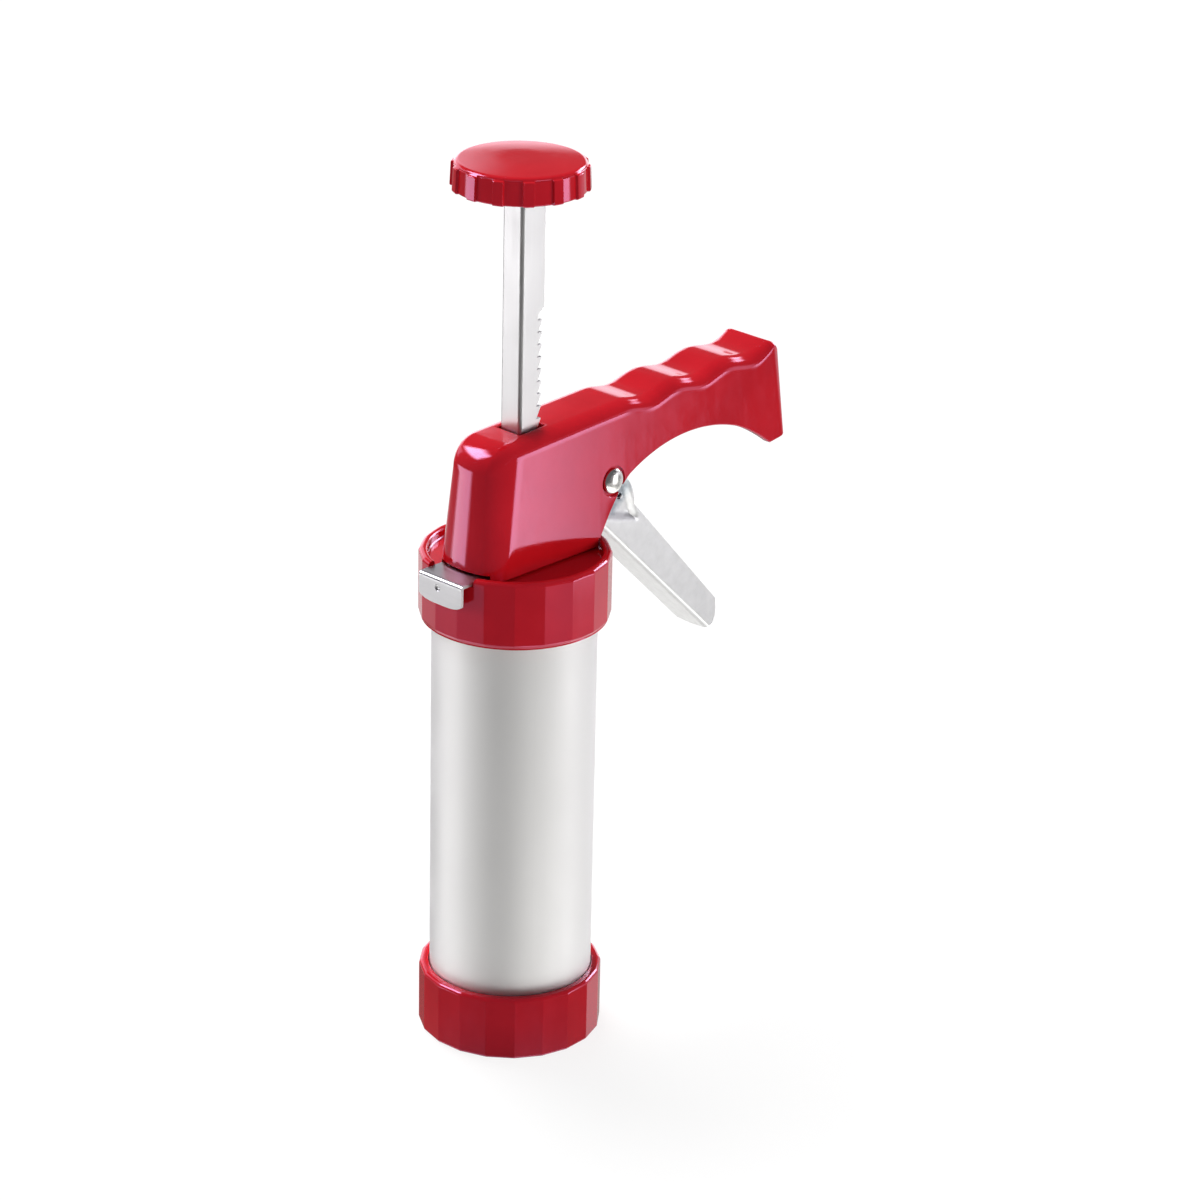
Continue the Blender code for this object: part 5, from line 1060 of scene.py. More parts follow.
def housing_skin(shape, inset, fillet_steps, foot_round=0.0):
    """Outer or inner skin. Returns the vertices of its open lower edge."""
    columns = [housing_column(index, station, inset, fillet_steps, foot_round)
               for index, station in enumerate(housing_plan(inset))]
    last = len(columns) - 1
    right = [[shape.verts.new(point) for point in column] for column in columns]
    left = []
    for index, column in enumerate(columns):
        if index in (0, last):
            left.append(right[index])
        else:
            left.append([shape.verts.new((x, -y, z)) for x, y, z in column])
    spine = housing_spine(shape, columns, right, inset)
    for side in (right, left):
        for i in range(last):
            for low in range(len(columns[0]) - 1):
                high = low + 1
                shape.faces.new((side[i][low], side[i + 1][low], side[i + 1][high], side[i][high]))
            corners = [side[i][-1], side[i + 1][-1], spine[i + 1], spine[i]]
            shape.faces.new(list(dict.fromkeys(corners)))
    return [column[0] for column in right] + [column[0] for column in reversed(left[1:last])]


def housing_spine(shape, columns, right, inset):
    """Vertices along the middle of the top, one for each column. The rear columns share the last."""
    last = len(columns) - 1
    along = [column[-1][0] for column in columns]
    front_x, rear_x = along[0], along[last]
    side_start = BOW_STEPS + CORNER_STEPS
    free_front = next(i for i in range(side_start, last) if along[i] > front_x + SIDE_FILLET)
    free_rear = next(i for i in range(last) if along[i] > rear_x - SIDE_FILLET / 4)
    spine = [right[0][-1]]
    for i in range(1, free_rear + 1):
        x = along[i]
        if i < free_front:
            x = lerp(front_x, along[free_front], i / free_front)
        spine.append(shape.verts.new((x, 0.0, top_z(x) - inset)))
    spine += [spine[free_rear]] * (last - 1 - free_rear)
    spine.append(right[last][-1])
    return spine


def make_housing(material):
    shape = bmesh.new()
    outer = housing_skin(shape, 0.0, OUTER_FILLET_STEPS, LOWER_EDGE_ROUND)
    inner = housing_skin(shape, HOUSING_WALL, INNER_FILLET_STEPS)
    for i in range(len(outer)):
        j = (i + 1) % len(outer)
        shape.faces.new((outer[i], outer[j], inner[j], inner[i]))
    housing = new_piece("grip_housing", shape)
    boolean(housing, housing_bosses(), "UNION")
    boolean(housing, rim_relief())
    boolean(housing, housing_cuts())
    finish_piece(housing, "housing", "head", material)


def rim_relief():
    """Trims the foot of the shell to the round recess that it stands in."""
    inner, outer = RECESS_RADIUS - SEAT_GAP, HEAD_CAP_RADIUS + CUT_OVERRUN
    low, high = HOUSING_Z - CUT_OVERRUN, CAP_RIM_Z + SEAT_GAP
    return turned(((inner, low), (outer, low), (outer, high), (inner, high)), TUBE_STEPS, closed=True)


def housing_bosses():
    """Screw bosses, the two rivet bosses and the stop for the lever's spring."""
    shape = bmesh.new()
    base = HOUSING_Z + SEAT_GAP
    screw_top = CAP_FLOOR_Z + HEAD_SCREW_LENGTH + SCREW_BOSS_TOP
    add_screw_bars(shape, SCREW_BOSS_RADIUS, (base, screw_top))
    inside = LEVER_EAR_HALF_WIDTH + SEAT_GAP
    outside = housing_half_width(RIVET_Z, HOUSING_WALL / 2)
    for side in (-1, 1):
        add_bar(shape, cross_circle, RIVET_BOSS_RADIUS, (side * inside, side * outside), RIVET_PLACE)
    tip_x, middle, tip_z = lever_spring_leg_tip()
    stop_x = tip_x - LEVER_WIRE - SEAT_GAP
    low = (stop_x - SPRING_STOP_LENGTH, middle - SPRING_STOP_HALF_WIDTH, tip_z - LEVER_WIRE / 2)
    high = (stop_x, middle + SPRING_STOP_HALF_WIDTH, top_z(stop_x) - HOUSING_WALL / 2)
    add_loft(shape, box(low, high))
    return shape


def housing_cuts():
    """Rod slot and rivet recesses with rounded lips, latch slot and screw bores."""
    surface, lip = HOUSING_TOP_Z, SLOT_LIP / 2
    levels = [(surface - HOUSING_WALL - CUT_OVERRUN, 0.0)]
    for r, z in arc((0.0, -SLOT_LIP), SLOT_LIP, 180, 90, ARC_STEPS):
        levels.append((surface + z, SLOT_LIP + r))
    levels.append((surface + CUT_OVERRUN, SLOT_LIP))
    shape = bmesh.new()
    rod_slot = []
    for z, grow in levels:
        row = box(*rod_corners(ROD_SLOT_GAP + grow, z, z))[0]
        rod_slot.append([(x, y, z + x * HOUSING_TOP_SLOPE) for x, y, _ in row])
    add_loft(shape, rod_slot)
    latch_low = (HOUSING_FRONT_X - CUT_OVERRUN, -LATCH_SLOT_HALF, HOUSING_Z - CUT_OVERRUN)
    latch_high = (PLATE_WIDE_END_X + PLATE_TRAVEL, LATCH_SLOT_HALF, HOUSING_Z + LATCH_SLOT_HEIGHT)
    add_loft(shape, box(latch_low, latch_high))
    face_y = housing_half_width(RIVET_Z)
    floor_y = face_y - RIVET_RECESS
    bore = RIVET_RADIUS + RUNNING_GAP
    recess = RIVET_HEAD_RADIUS + RIVET_RECESS_GAP
    right = [(bore, floor_y), (recess, floor_y), (recess, face_y - lip),
             (recess + lip / 4, face_y - lip / 4), (recess + lip, face_y + SEAT_GAP / 4),
             (recess + lip, face_y + CUT_OVERRUN)]
    add_loft(shape, mirrored_rings(right))
    bore_top = CAP_FLOOR_Z + HEAD_SCREW_LENGTH + SEAT_GAP
    add_screw_bars(shape, HEAD_SCREW_RADIUS + RUNNING_GAP, (HOUSING_Z - CUT_OVERRUN, bore_top))
    return shape


def mirrored_rings(right):
    """Rings round the rivet's axis from (radius, y) pairs of the right side, mirrored to the left."""
    left = [(radius, -y) for radius, y in reversed(right)]
    return [cross_circle(radius, y, SMALL_STEPS, RIVET_PLACE) for radius, y in left + right]


# Rod, knob and piston

def tooth_outline():
    """Rear edge of the rod, top to bottom. Each tooth has a level shelf that faces up."""
    root = TOOTH_TIP_X - TOOTH_DEPTH
    points = [(ROD_REAR_X, ROD_TOP_Z), (ROD_REAR_X, TEETH_TOP_Z + TOOTH_PITCH)]
    points.append((root + TOOTH_LAND, TEETH_TOP_Z + TOOTH_PITCH - TOOTH_DEPTH))
    for i in range(TOOTH_COUNT):
        z = TEETH_TOP_Z - i * TOOTH_PITCH
        points += [(root, z), (TOOTH_TIP_X, z), (TOOTH_TIP_X, z - TOOTH_LAND)]
    low = TEETH_TOP_Z - TOOTH_COUNT * TOOTH_PITCH
    return points + [(root, low), (TOOTH_TIP_X, low), (TOOTH_TIP_X, ROD_FOOT_Z)]


def make_rod(material):
    rear = tooth_outline()
    bend = arc((ROD_FRONT_X + ROD_BEND, ROD_HALF_WIDTH - ROD_BEND), ROD_BEND, 90, 180, ROD_BEND_STEPS)
    loops = []
    for front, y in [(x, -y) for x, y in bend] + bend[::-1]:
        outline = rear + [(front, ROD_FOOT_Z), (front, ROD_TOP_Z)]
        loops.append([(x, y, z) for x, z in outline])
    rod = new_piece("toothed_rod", loft(loops))
    hollow = ROD_HALF_WIDTH - ROD_SHEET
    floor = ROD_FOOT_Z + ROD_SHEET
    inner = max(ROD_BEND - ROD_SHEET, SEAT_GAP)
    corner = arc((ROD_FRONT_X + ROD_SHEET + inner, hollow - inner), inner, 90, 180, ARC_STEPS)
    far = ROD_REAR_X + CUT_OVERRUN
    plan = [(far, hollow)] + corner + [(x, -y) for x, y in reversed(corner)] + [(far, -hollow)]
    boolean(rod, loft(upright(plan, (floor, ROD_TOP_Z + CUT_OVERRUN))))
    hole = PISTON_SCREW_RADIUS + RUNNING_GAP
    hole_ends = ((hole, ROD_FOOT_Z - CUT_OVERRUN), (hole, floor + CUT_OVERRUN))
    boolean(rod, turned(hole_ends, SMALL_STEPS, (PISTON_SCREW_X, 0.0)))
    soften(rod, ROD_EDGE, 1)
    finish_piece(rod, "rod", "rod", material)


def knob_loop(valley, rib, z):
    """The knob's outline with its ribs."""
    step = math.tau / KNOB_RIBS
    half = step * KNOB_RIB_TURN_SHARE / 2
    flank = step * KNOB_RIB_FLANK_SHARE
    rise = [(share * flank - half, smooth_share(share)) for share in KNOB_FLANK_SHARES]
    tops, valleys = range(1, KNOB_TOP_STEPS), range(1, KNOB_VALLEY_STEPS)
    top = [(lerp(flank - half, half - flank, i / KNOB_TOP_STEPS), 1.0) for i in tops]
    fall = [(-turn, height) for turn, height in reversed(rise)]
    rest = [(lerp(half, step - half, i / KNOB_VALLEY_STEPS), 0.0) for i in valleys]
    points = []
    for i in range(KNOB_RIBS):
        for turn, height in rise + top + fall + rest:
            angle = i * step + turn
            radius = lerp(valley, rib, height)
            points.append((radius * math.cos(angle), radius * math.sin(angle), z))
    return points


def knob_rows():
    """Rows from inside, over foot and side, to the face, as (valley radius, rib radius, height)."""
    valley = KNOB_RADIUS - KNOB_RIB_HEIGHT
    inner = valley - KNOB_WALL
    edge, flare, foot, rib_edge = KNOB_DOME / 2, KNOB_FLARE / 2, KNOB_FOOT_ROUND, KNOB_RIB_HEIGHT / 2
    outward = flare - foot
    rib_top = KNOB_TOP_Z - KNOB_RIB_TOP
    smooth = [(inner, KNOB_TOP_Z - KNOB_CROWN), (inner, KNOB_Z + foot / 2), (inner + foot / 2, KNOB_Z)]
    rows = [(radius, radius, z) for radius, z in smooth]
    for off, z in arc((outward, KNOB_Z + foot), foot, -90, 0, ARC_STEPS):
        rows.append((valley + off, KNOB_RADIUS + off, z))
    for off, z in arc((0.0, rib_top - rib_edge), rib_edge, 0, 90, ARC_STEPS):
        share = off / rib_edge
        low = valley - flare / 2 - (1 - share) * edge / 2
        rows.append((low, lerp(valley, KNOB_RADIUS - flare / 2, share), z))
    brow = valley - KNOB_RIB_HEIGHT * 2
    crown = KNOB_TOP_Z - KNOB_DOME + edge / 2
    smooth = [(lerp(brow, valley - edge / 2, off), lerp(rib_top, crown, rise))
              for off, rise in arc((0.0, 0.0), 1.0, 15, 90, ARC_STEPS + 1)]
    smooth += [(brow * share, lerp(KNOB_TOP_Z, crown, share ** 2)) for share in KNOB_FACE_SHARES]
    return rows + [(radius, radius, z) for radius, z in smooth]


def make_knob(material):
    knob = new_piece("ribbed_knob", loft([knob_loop(*row) for row in knob_rows()]))
    wall, gap = KNOB_BOSS_WALL + SEAT_GAP, SEAT_GAP
    boss_top = KNOB_TOP_Z - KNOB_CROWN + KNOB_CROWN / 3
    boolean(knob, blocks(rod_corners(wall, KNOB_Z + KNOB_BOSS_LIFT, boss_top)), "UNION")
    boolean(knob, blocks(rod_corners(gap, KNOB_Z - CUT_OVERRUN, ROD_TOP_Z + gap)))
    finish_piece(knob, "knob", "rod", material)


def make_piston(material):
    low, high = PISTON_Z, PISTON_TOP_Z
    web = low + PISTON_WEB
    edge, small = PISTON_EDGE, PISTON_EDGE / 2
    rim_inner = PISTON_RADIUS - PISTON_RIM_WALL
    profile = arc((PISTON_RADIUS - edge, low + edge), edge, -90, 0, ARC_STEPS)
    profile += arc((PISTON_RADIUS - edge, high - edge), edge, 0, 90, ARC_STEPS)
    profile += arc((rim_inner + small, high - small), small, 90, 180, 2)
    profile += [(rim_inner, web + edge), (rim_inner - edge, web), (PISTON_HUB_RADIUS + edge, web),
                (PISTON_HUB_RADIUS, web + edge)]
    profile += arc((PISTON_HUB_RADIUS - small, high - small), small, 0, 90, 2)
    piston = new_piece("dough_piston", turned(profile, TURN_STEPS))
    bore = PISTON_SCREW_RADIUS + RUNNING_GAP
    sink = PISTON_SCREW_HEAD_RADIUS + RUNNING_GAP
    seat = low + PISTON_SCREW_HEAD + SEAT_GAP
    steps = ((sink, low - CUT_OVERRUN), (sink, seat), (bore, seat), (bore, high + CUT_OVERRUN))
    boolean(piston, turned(steps, SMALL_STEPS, (PISTON_SCREW_X, 0.0)))
    finish_piece(piston, "piston", "rod", material)


# Lever, its rivet and the springs

def smooth_table_value(table, x):
    """A smooth curve through the points of a table."""
    slopes = []
    for i in range(len(table)):
        (x0, y0), (x1, y1) = table[max(i - 1, 0)], table[min(i + 1, len(table) - 1)]
        slopes.append((y1 - y0) / (x1 - x0))
    for i, ((x0, y0), (x1, y1)) in enumerate(zip(table, table[1:])):
        if x <= x1:
            run, t = x1 - x0, (x - x0) / (x1 - x0)
            return ((2 * t ** 3 - 3 * t ** 2 + 1) * y0 + (t ** 3 - 2 * t ** 2 + t) * run * slopes[i]
                    + (3 * t ** 2 - 2 * t ** 3) * y1 + (t ** 3 - t ** 2) * run * slopes[i + 1])
    return table[-1][1]


def flange_top(along):
    """Upper edge of the lever's side, from its end arm over the ear to the flange's end."""
    if along < LEVER_ARM_ALONG:
        return LEVER_ARM_ABOVE + arm_half_height(along)
    foot = (LEVER_EAR_REACH + LEVER_SHEET / 2, LEVER_FLANGE_START_ABOVE)
    if along >= foot[0]:
        return table_value((foot, (LEVER_FLANGE_END, LEVER_FLANGE_END_ABOVE)), along)
    table = [(LEVER_ARM_ALONG, LEVER_ARM_ABOVE + LEVER_ARM_RADIUS)]
    for share, height_share in LEVER_EAR_TOP_SHARES:
        table.append((share * LEVER_EAR_REACH, height_share * LEVER_EAR_HEIGHT))
    if along <= table[1][0]:
        return table_value(table[:2], along)
    return smooth_table_value(table[1:] + [foot], along)


def arm_half_height(along):
    """Half height of the arm's round end."""
    off = min(LEVER_ARM_ALONG - along, LEVER_ARM_RADIUS)
    return math.sqrt(LEVER_ARM_RADIUS ** 2 - off ** 2)


def flange_bottom(along):
    """Lower edge of the side: round the arm's end, then straight to the web's bend."""
    bend = LEVER_BEND_RADIUS - LEVER_WEB_DROP
    if along < LEVER_ARM_ALONG:
        return LEVER_ARM_ABOVE - arm_half_height(along)
    if along > LEVER_WEB_START:
        return bend
    low = LEVER_ARM_ABOVE - LEVER_ARM_RADIUS
    return lerp(low, bend, (along - LEVER_ARM_ALONG) / (LEVER_WEB_START - LEVER_ARM_ALONG))


def side_of_line(point, start, end):
    """Signed distance of a point to the left of a line."""
    dx, dy = end[0] - start[0], end[1] - start[1]
    return (dx * (point[1] - start[1]) - dy * (point[0] - start[0])) / math.hypot(dx, dy)


def lever_half_width(along, above):
    """Half width of the lever: the ears are pinched in beyond two fold lines."""
    tip = (LEVER_FOLD_TIP, LEVER_FOLD_TIP_ABOVE)
    low = side_of_line((along, above), (LEVER_WEB_START, -LEVER_WEB_DROP), tip)
    high = side_of_line((along, above), tip, (LEVER_EAR_REACH, LEVER_EAR_HEIGHT / 4))
    share = smooth_share(min(low, high) / LEVER_FOLD_WIDTH)
    return lerp(LEVER_HALF_WIDTH, LEVER_EAR_HALF_WIDTH, share)


def lever_stations():
    """Places along the lever, close together at its ends and folds."""
    turns = [math.radians(angle) for angle in LEVER_ARM_ANGLES]
    stations = [LEVER_ARM_ALONG - LEVER_ARM_RADIUS * math.cos(turn) for turn in turns]
    marks = [LEVER_ARM_ALONG, LEVER_WEB_START, LEVER_EAR_REACH, LEVER_EAR_REACH + LEVER_SHEET / 2,
             LEVER_FOLD_TIP + LEVER_FOLD_WIDTH, LEVER_NOSE_START, LEVER_FLANGE_END]
    for start, end in zip(marks, marks[1:]):
        count = max(round((end - start) / LEVER_STEP), 1)
        stations += [lerp(start, end, i / count) for i in range(count)]
    return stations + [LEVER_FLANGE_END]


def nose_reach(above):
    """How far the lever's rounded end reaches at a height of its side."""
    span = LEVER_FLANGE_END_ABOVE + LEVER_WEB_DROP
    depth = clamp((LEVER_FLANGE_END_ABOVE - above) / span)
    share = clamp(smooth_table_value(LEVER_NOSE_SHARES, depth))
    return lerp(LEVER_FLANGE_END, LEVER_REACH, share)


def lever_section(along):
    """Points across one side at a station, and for the blade also the bend and half of the web."""
    high, low = flange_top(along), flange_bottom(along)
    points = []
    for i in range(LEVER_SIDE_STEPS + 1):
        above = lerp(high, low, i / LEVER_SIDE_STEPS)
        points.append((along, lever_half_width(along, above), above))
    if along < LEVER_WEB_START:
        return points
    half, radius = LEVER_HALF_WIDTH, LEVER_BEND_RADIUS
    for i in range(1, LEVER_BEND_STEPS + 1):
        turn = i / LEVER_BEND_STEPS * math.pi / 2
        inward, lift = radius * (1 - math.cos(turn)), radius * (1 - math.sin(turn))
        points.append((along, half - inward, lift - LEVER_WEB_DROP))
    for i in range(1, LEVER_WEB_STEPS + 1):
        points.append((along, lerp(half - radius, 0.0, i / LEVER_WEB_STEPS), -LEVER_WEB_DROP))
    return points


def reach_out(point):
    """Stretch the last stations to the lever's rounded end."""
    along, y, above = point
    share = (along - LEVER_NOSE_START) / (LEVER_FLANGE_END - LEVER_NOSE_START)
    if share <= 0.0:
        return point
    rounding = (1 - abs(y) / LEVER_HALF_WIDTH) * LEVER_SHEET
    return (lerp(LEVER_NOSE_START, nose_reach(above) + rounding, share), y, above)


def to_press(point):
    """From the lever's frame to the press."""
    along, y, above = point
    x, z = lever_point(along, above)
    return (x, y, z)


def make_lever(material):
    shape = bmesh.new()
    rows = []
    for along in lever_stations():
        section = [to_press(reach_out(point)) for point in lever_section(along)]
        right = [shape.verts.new(point) for point in section]
        left = [shape.verts.new((x, -y, z)) if y > 0.0 else middle
                for middle, (x, y, z) in zip(right, section)]
        rows.append((right, left))
    for (right0, left0), (right1, left1) in zip(rows, rows[1:]):
        for side0, side1, flip in ((right0, right1, False), (left0, left1, True)):
            for i in range(min(len(side0), len(side1)) - 1):
                corners = (side0[i], side0[i + 1], side1[i + 1], side1[i])
                shape.faces.new(corners[::-1] if flip else corners)
    lever = new_piece("squeeze_lever", shape)
    outermost = max(lever.data.polygons, key=lambda face: face.center.y)
    solid = lever.modifiers.new("sheet", "SOLIDIFY")
    solid.thickness = LEVER_SHEET
    solid.offset = -1.0 if outermost.normal.y > 0 else 1.0
    solid.use_even_offset = True
    apply_modifiers(lever)
    soften(lever, LEVER_EDGE, angle=LEVER_EDGE_ANGLE)
    boolean(lever, lever_holes())
    finish_piece(lever, "lever", "lever", material)


def lever_holes():
    """Holes for the rivet, the pawl's pin and the spring's hook."""
    far = LEVER_HALF_WIDTH + CUT_OVERRUN
    holes = (
        (RIVET_RADIUS + RUNNING_GAP, RIVET_PLACE), (PAWL_PIN_RADIUS + RUNNING_GAP, PAWL_PLACE),
        (LEVER_WIRE / 2 + LEVER_HOOK_HOLE_GAP, lever_point(LEVER_HOOK_ALONG, LEVER_HOOK_ABOVE)))
    shape = bmesh.new()
    for radius, centre in holes:
        add_bar(shape, cross_circle, radius, (-far, far), centre)
    return shape


def make_rivet(material):
    seat = housing_half_width(RIVET_Z) - RIVET_RECESS + SEAT_GAP
    head, rim = RIVET_HEAD_RADIUS, RIVET_HEAD * RIVET_DOME_FLAT_SHARE
    right = [(RIVET_RADIUS, seat), (head - SEAT_GAP / 3, seat), (head, seat + SEAT_GAP / 3)]
    for i in range(RIVET_DOME_STEPS):
        angle = i / RIVET_DOME_STEPS * math.pi / 2
        right.append((head * math.cos(angle), seat + rim + (RIVET_HEAD - rim) * math.sin(angle)))
    right.append((head / 40, seat + RIVET_HEAD))
    rivet = new_piece("domed_rivet", loft(mirrored_rings(right)))
    finish_piece(rivet, "lever_rivet", "head", material)


def wire(name, node, body, points, diameter, material):
    """One unbroken round wire through the points."""
    curve = bpy.data.curves.new(name, "CURVE")
    curve.dimensions = "3D"
    curve.bevel_depth = diameter / 2
    curve.bevel_resolution = WIRE_SIDES
    curve.use_fill_caps = True
    spline = curve.splines.new("POLY")
    spline.points.add(len(points) - 1)
    for target, point in zip(spline.points, points):
        target.co = (*point, 1.0)
    thing = new_object(name, curve)
    finish_piece(thing, node, body, material)


def torsion_points(centre, radius, start_angle, turns, start_y, pitch):
    """Points round a coil whose axis runs along Y."""
    count = round(turns * COIL_STEPS)
    points = []
    for i in range(count + 1):
        angle = start_angle + turns * math.tau * i / count
        y = start_y + pitch * turns * i / count
        points.append((centre[0] + radius * math.cos(angle), y, centre[1] + radius * math.sin(angle)))
    return points


def leg(points, at_start, angle, length):
    """End of a straight leg that leaves the coil at its tangent."""
    x, y, z = points[0] if at_start else points[-1]
    turn = angle - math.pi / 2 if at_start else angle + math.pi / 2
    return (x + length * math.cos(turn), y, z + length * math.sin(turn))


def lever_spring_coil():
    """The coil and its start angle, from where the first leg runs to the hook's hole."""
    reach = math.hypot(LEVER_HOOK_ALONG, LEVER_HOOK_ABOVE)
    hook_angle = LEVER_ANGLE + math.atan2(LEVER_HOOK_ABOVE, LEVER_HOOK_ALONG)
    start = hook_angle + math.acos(LEVER_COIL_RADIUS / reach)
    coil = torsion_points(RIVET_PLACE, LEVER_COIL_RADIUS, start, LEVER_COIL_TURNS,
                          LEVER_COIL_START_Y, LEVER_COIL_PITCH)
    return coil, start


def lever_spring_leg_tip():
    """Where the lever spring's upper leg ends."""
    coil, start = lever_spring_coil()
    return leg(coil, False, start + LEVER_COIL_TURNS * math.tau, LEVER_SPRING_LEG)


def make_lever_spring(material):
    hook_x, hook_z = lever_point(LEVER_HOOK_ALONG, LEVER_HOOK_ABOVE)
    bend_x, bend_z = lever_point(LEVER_HOOK_ALONG - LEVER_WIRE, LEVER_HOOK_ABOVE)
    near = LEVER_COIL_START_Y
    hook = [(hook_x, -LEVER_EAR_HALF_WIDTH - LEVER_HOOK_PROUD, hook_z),
            (hook_x, near - LEVER_WIRE, hook_z), (bend_x, near, bend_z)]
    points = hook + lever_spring_coil()[0] + [lever_spring_leg_tip()]
    wire("return_spring", "lever_spring", "lever", points, LEVER_WIRE, material)


def make_pawl_spring(material):
    end_y = LEVER_EAR_HALF_WIDTH - LEVER_SHEET - SEAT_GAP - PAWL_WIRE / 2
    start_y = end_y - PAWL_COIL_TURNS * PAWL_COIL_PITCH
    start = PAWL_COIL_END - PAWL_COIL_TURNS * math.tau
    coil = torsion_points(PAWL_PLACE, PAWL_COIL_RADIUS, start, PAWL_COIL_TURNS,
                          start_y, PAWL_COIL_PITCH)
    first = leg(coil, True, start, PAWL_SHORT_LEG)
    last = leg(coil, False, PAWL_COIL_END, PAWL_LONG_LEG)
    wire("pawl_return_spring", "pawl_spring", "lever", [first] + coil + [last], PAWL_WIRE, material)


def make_release_spring(material):
    start = PLATE_END_X + SEAT_GAP + RELEASE_WIRE / 2
    middle = PLATE_TOP_Z + PLATE_LIP_HEIGHT / 2
    radius, run = RELEASE_COIL_RADIUS, RELEASE_COIL_LENGTH - RELEASE_WIRE
    count = round(RELEASE_COIL_TURNS * COIL_STEPS)
    points = []
    for i in range(count + 1):
        angle = i * math.tau / COIL_STEPS
        y, z = radius * math.cos(angle), middle + radius * math.sin(angle)
        points.append((start + run * i / count, y, z))
    wire("latch_spring", "release_spring", "head", points, RELEASE_WIRE, material)


# Release plate

def plate_profile():
    """The plate from the side: tab down, bend, flat, and a lip up at the rear."""
    outer, sheet, steps = PLATE_BEND_RADIUS, PLATE_SHEET, PLATE_BEND_STEPS
    tab_low = PLATE_TOP_Z - PLATE_TAB_DROP
    front = (PLATE_TAB_X + outer, PLATE_TOP_Z - outer)
    rear = (PLATE_END_X - outer, PLATE_Z + outer)
    lip = PLATE_TOP_Z + PLATE_LIP_HEIGHT
    outline = [(PLATE_TAB_X, tab_low)] + arc(front, outer, 180, 90, steps)
    outline += arc(rear, outer - sheet, 270, 360, steps)
    outline += [(PLATE_END_X - sheet, lip), (PLATE_END_X, lip)]
    outline += arc(rear, outer, 360, 270, steps) + arc(front, outer - sheet, 90, 180, steps)
    return outline + [(PLATE_TAB_X + sheet, tab_low)]


def make_release_plate(material):
    sides = [[(x, y, z) for x, z in plate_profile()] for y in (-PLATE_WIDE_HALF, PLATE_WIDE_HALF)]
    plate = new_piece("release_latch", loft(sides))
    boolean(plate, plate_cuts())
    boolean(plate, tab_edge_cut())
    soften(plate, PLATE_EDGE)
    boolean(plate, dimple_cut())
    finish_piece(plate, "release_plate", "release", material)


def plate_cuts():
    """The neck between the front bosses, the window round the rod, and the narrow lip."""
    low, high = PLATE_Z - CUT_OVERRUN, PLATE_TOP_Z + PLATE_LIP_HEIGHT + CUT_OVERRUN
    far = PLATE_WIDE_HALF + CUT_OVERRUN
    end = PLATE_END_X + CUT_OVERRUN
    lip_low = PLATE_Z + PLATE_BEND_RADIUS
    hole_front = ROD_FRONT_X - RUNNING_GAP * 2 - PLATE_TRAVEL
    hole_half = ROD_HALF_WIDTH + RUNNING_GAP * 2
    rear = PLATE_END_X - PLATE_BEND_RADIUS * 2
    shape = blocks(((hole_front, -hole_half, low), (TOOTH_TIP_X + PLATE_HOLD_GAP, hole_half, high)))
    for side in (-1, 1):
        outline = (
            (PLATE_WIDE_END_X, PLATE_NECK_HALF), (PLATE_NECK_END_X, PLATE_NECK_HALF),
            (PLATE_NECK_END_X, PLATE_WINDOW_HALF), (end, PLATE_WINDOW_HALF), (end, far),
            (PLATE_WIDE_END_X, far))
        beside_lip = ((rear, PLATE_LIP_HALF), (end, PLATE_LIP_HALF), (end, far), (rear, far))
        for plan, levels in ((outline, (low, lip_low)), (beside_lip, (lip_low + SEAT_GAP, high))):
            add_loft(shape, upright([(x, side * y) for x, y in plan], levels))
    return shape


def tab_edge_cut():
    """The tab's bowed lower edge."""
    low = PLATE_TOP_Z - PLATE_TAB_DROP
    steps = SMALL_STEPS // 2
    edge = []
    for i in range(steps + 1):
        share = i / steps * 2 - 1
        edge.append((share * (PLATE_WIDE_HALF + SEAT_GAP), low + PLATE_TAB_CORNER_RISE * share ** 4))
    far = PLATE_WIDE_HALF + CUT_OVERRUN
    edge += [(far, low - CUT_OVERRUN), (-far, low - CUT_OVERRUN)]
    faces = (PLATE_TAB_X - CUT_OVERRUN, PLATE_TAB_X + CUT_OVERRUN)
    return loft([[(x, y, z) for y, z in edge] for x in faces])


def dimple_cut():
    """The small dimple in the tab's face."""
    centre = (PLATE_DIMPLE_Y, PLATE_TOP_Z - PLATE_DIMPLE_DROP)
    depth = PLATE_SHEET / 2
    loops = [facing_circle(PLATE_DIMPLE_RADIUS, PLATE_TAB_X - CUT_OVERRUN, SMALL_STEPS, centre)]
    for off, lift in arc((0.0, 0.0), 1.0, 0, 80, ARC_STEPS):
        radius, x = PLATE_DIMPLE_RADIUS * off, PLATE_TAB_X + depth * lift
        loops.append(facing_circle(radius, x, SMALL_STEPS, centre))
    return loft(loops)


# Studio

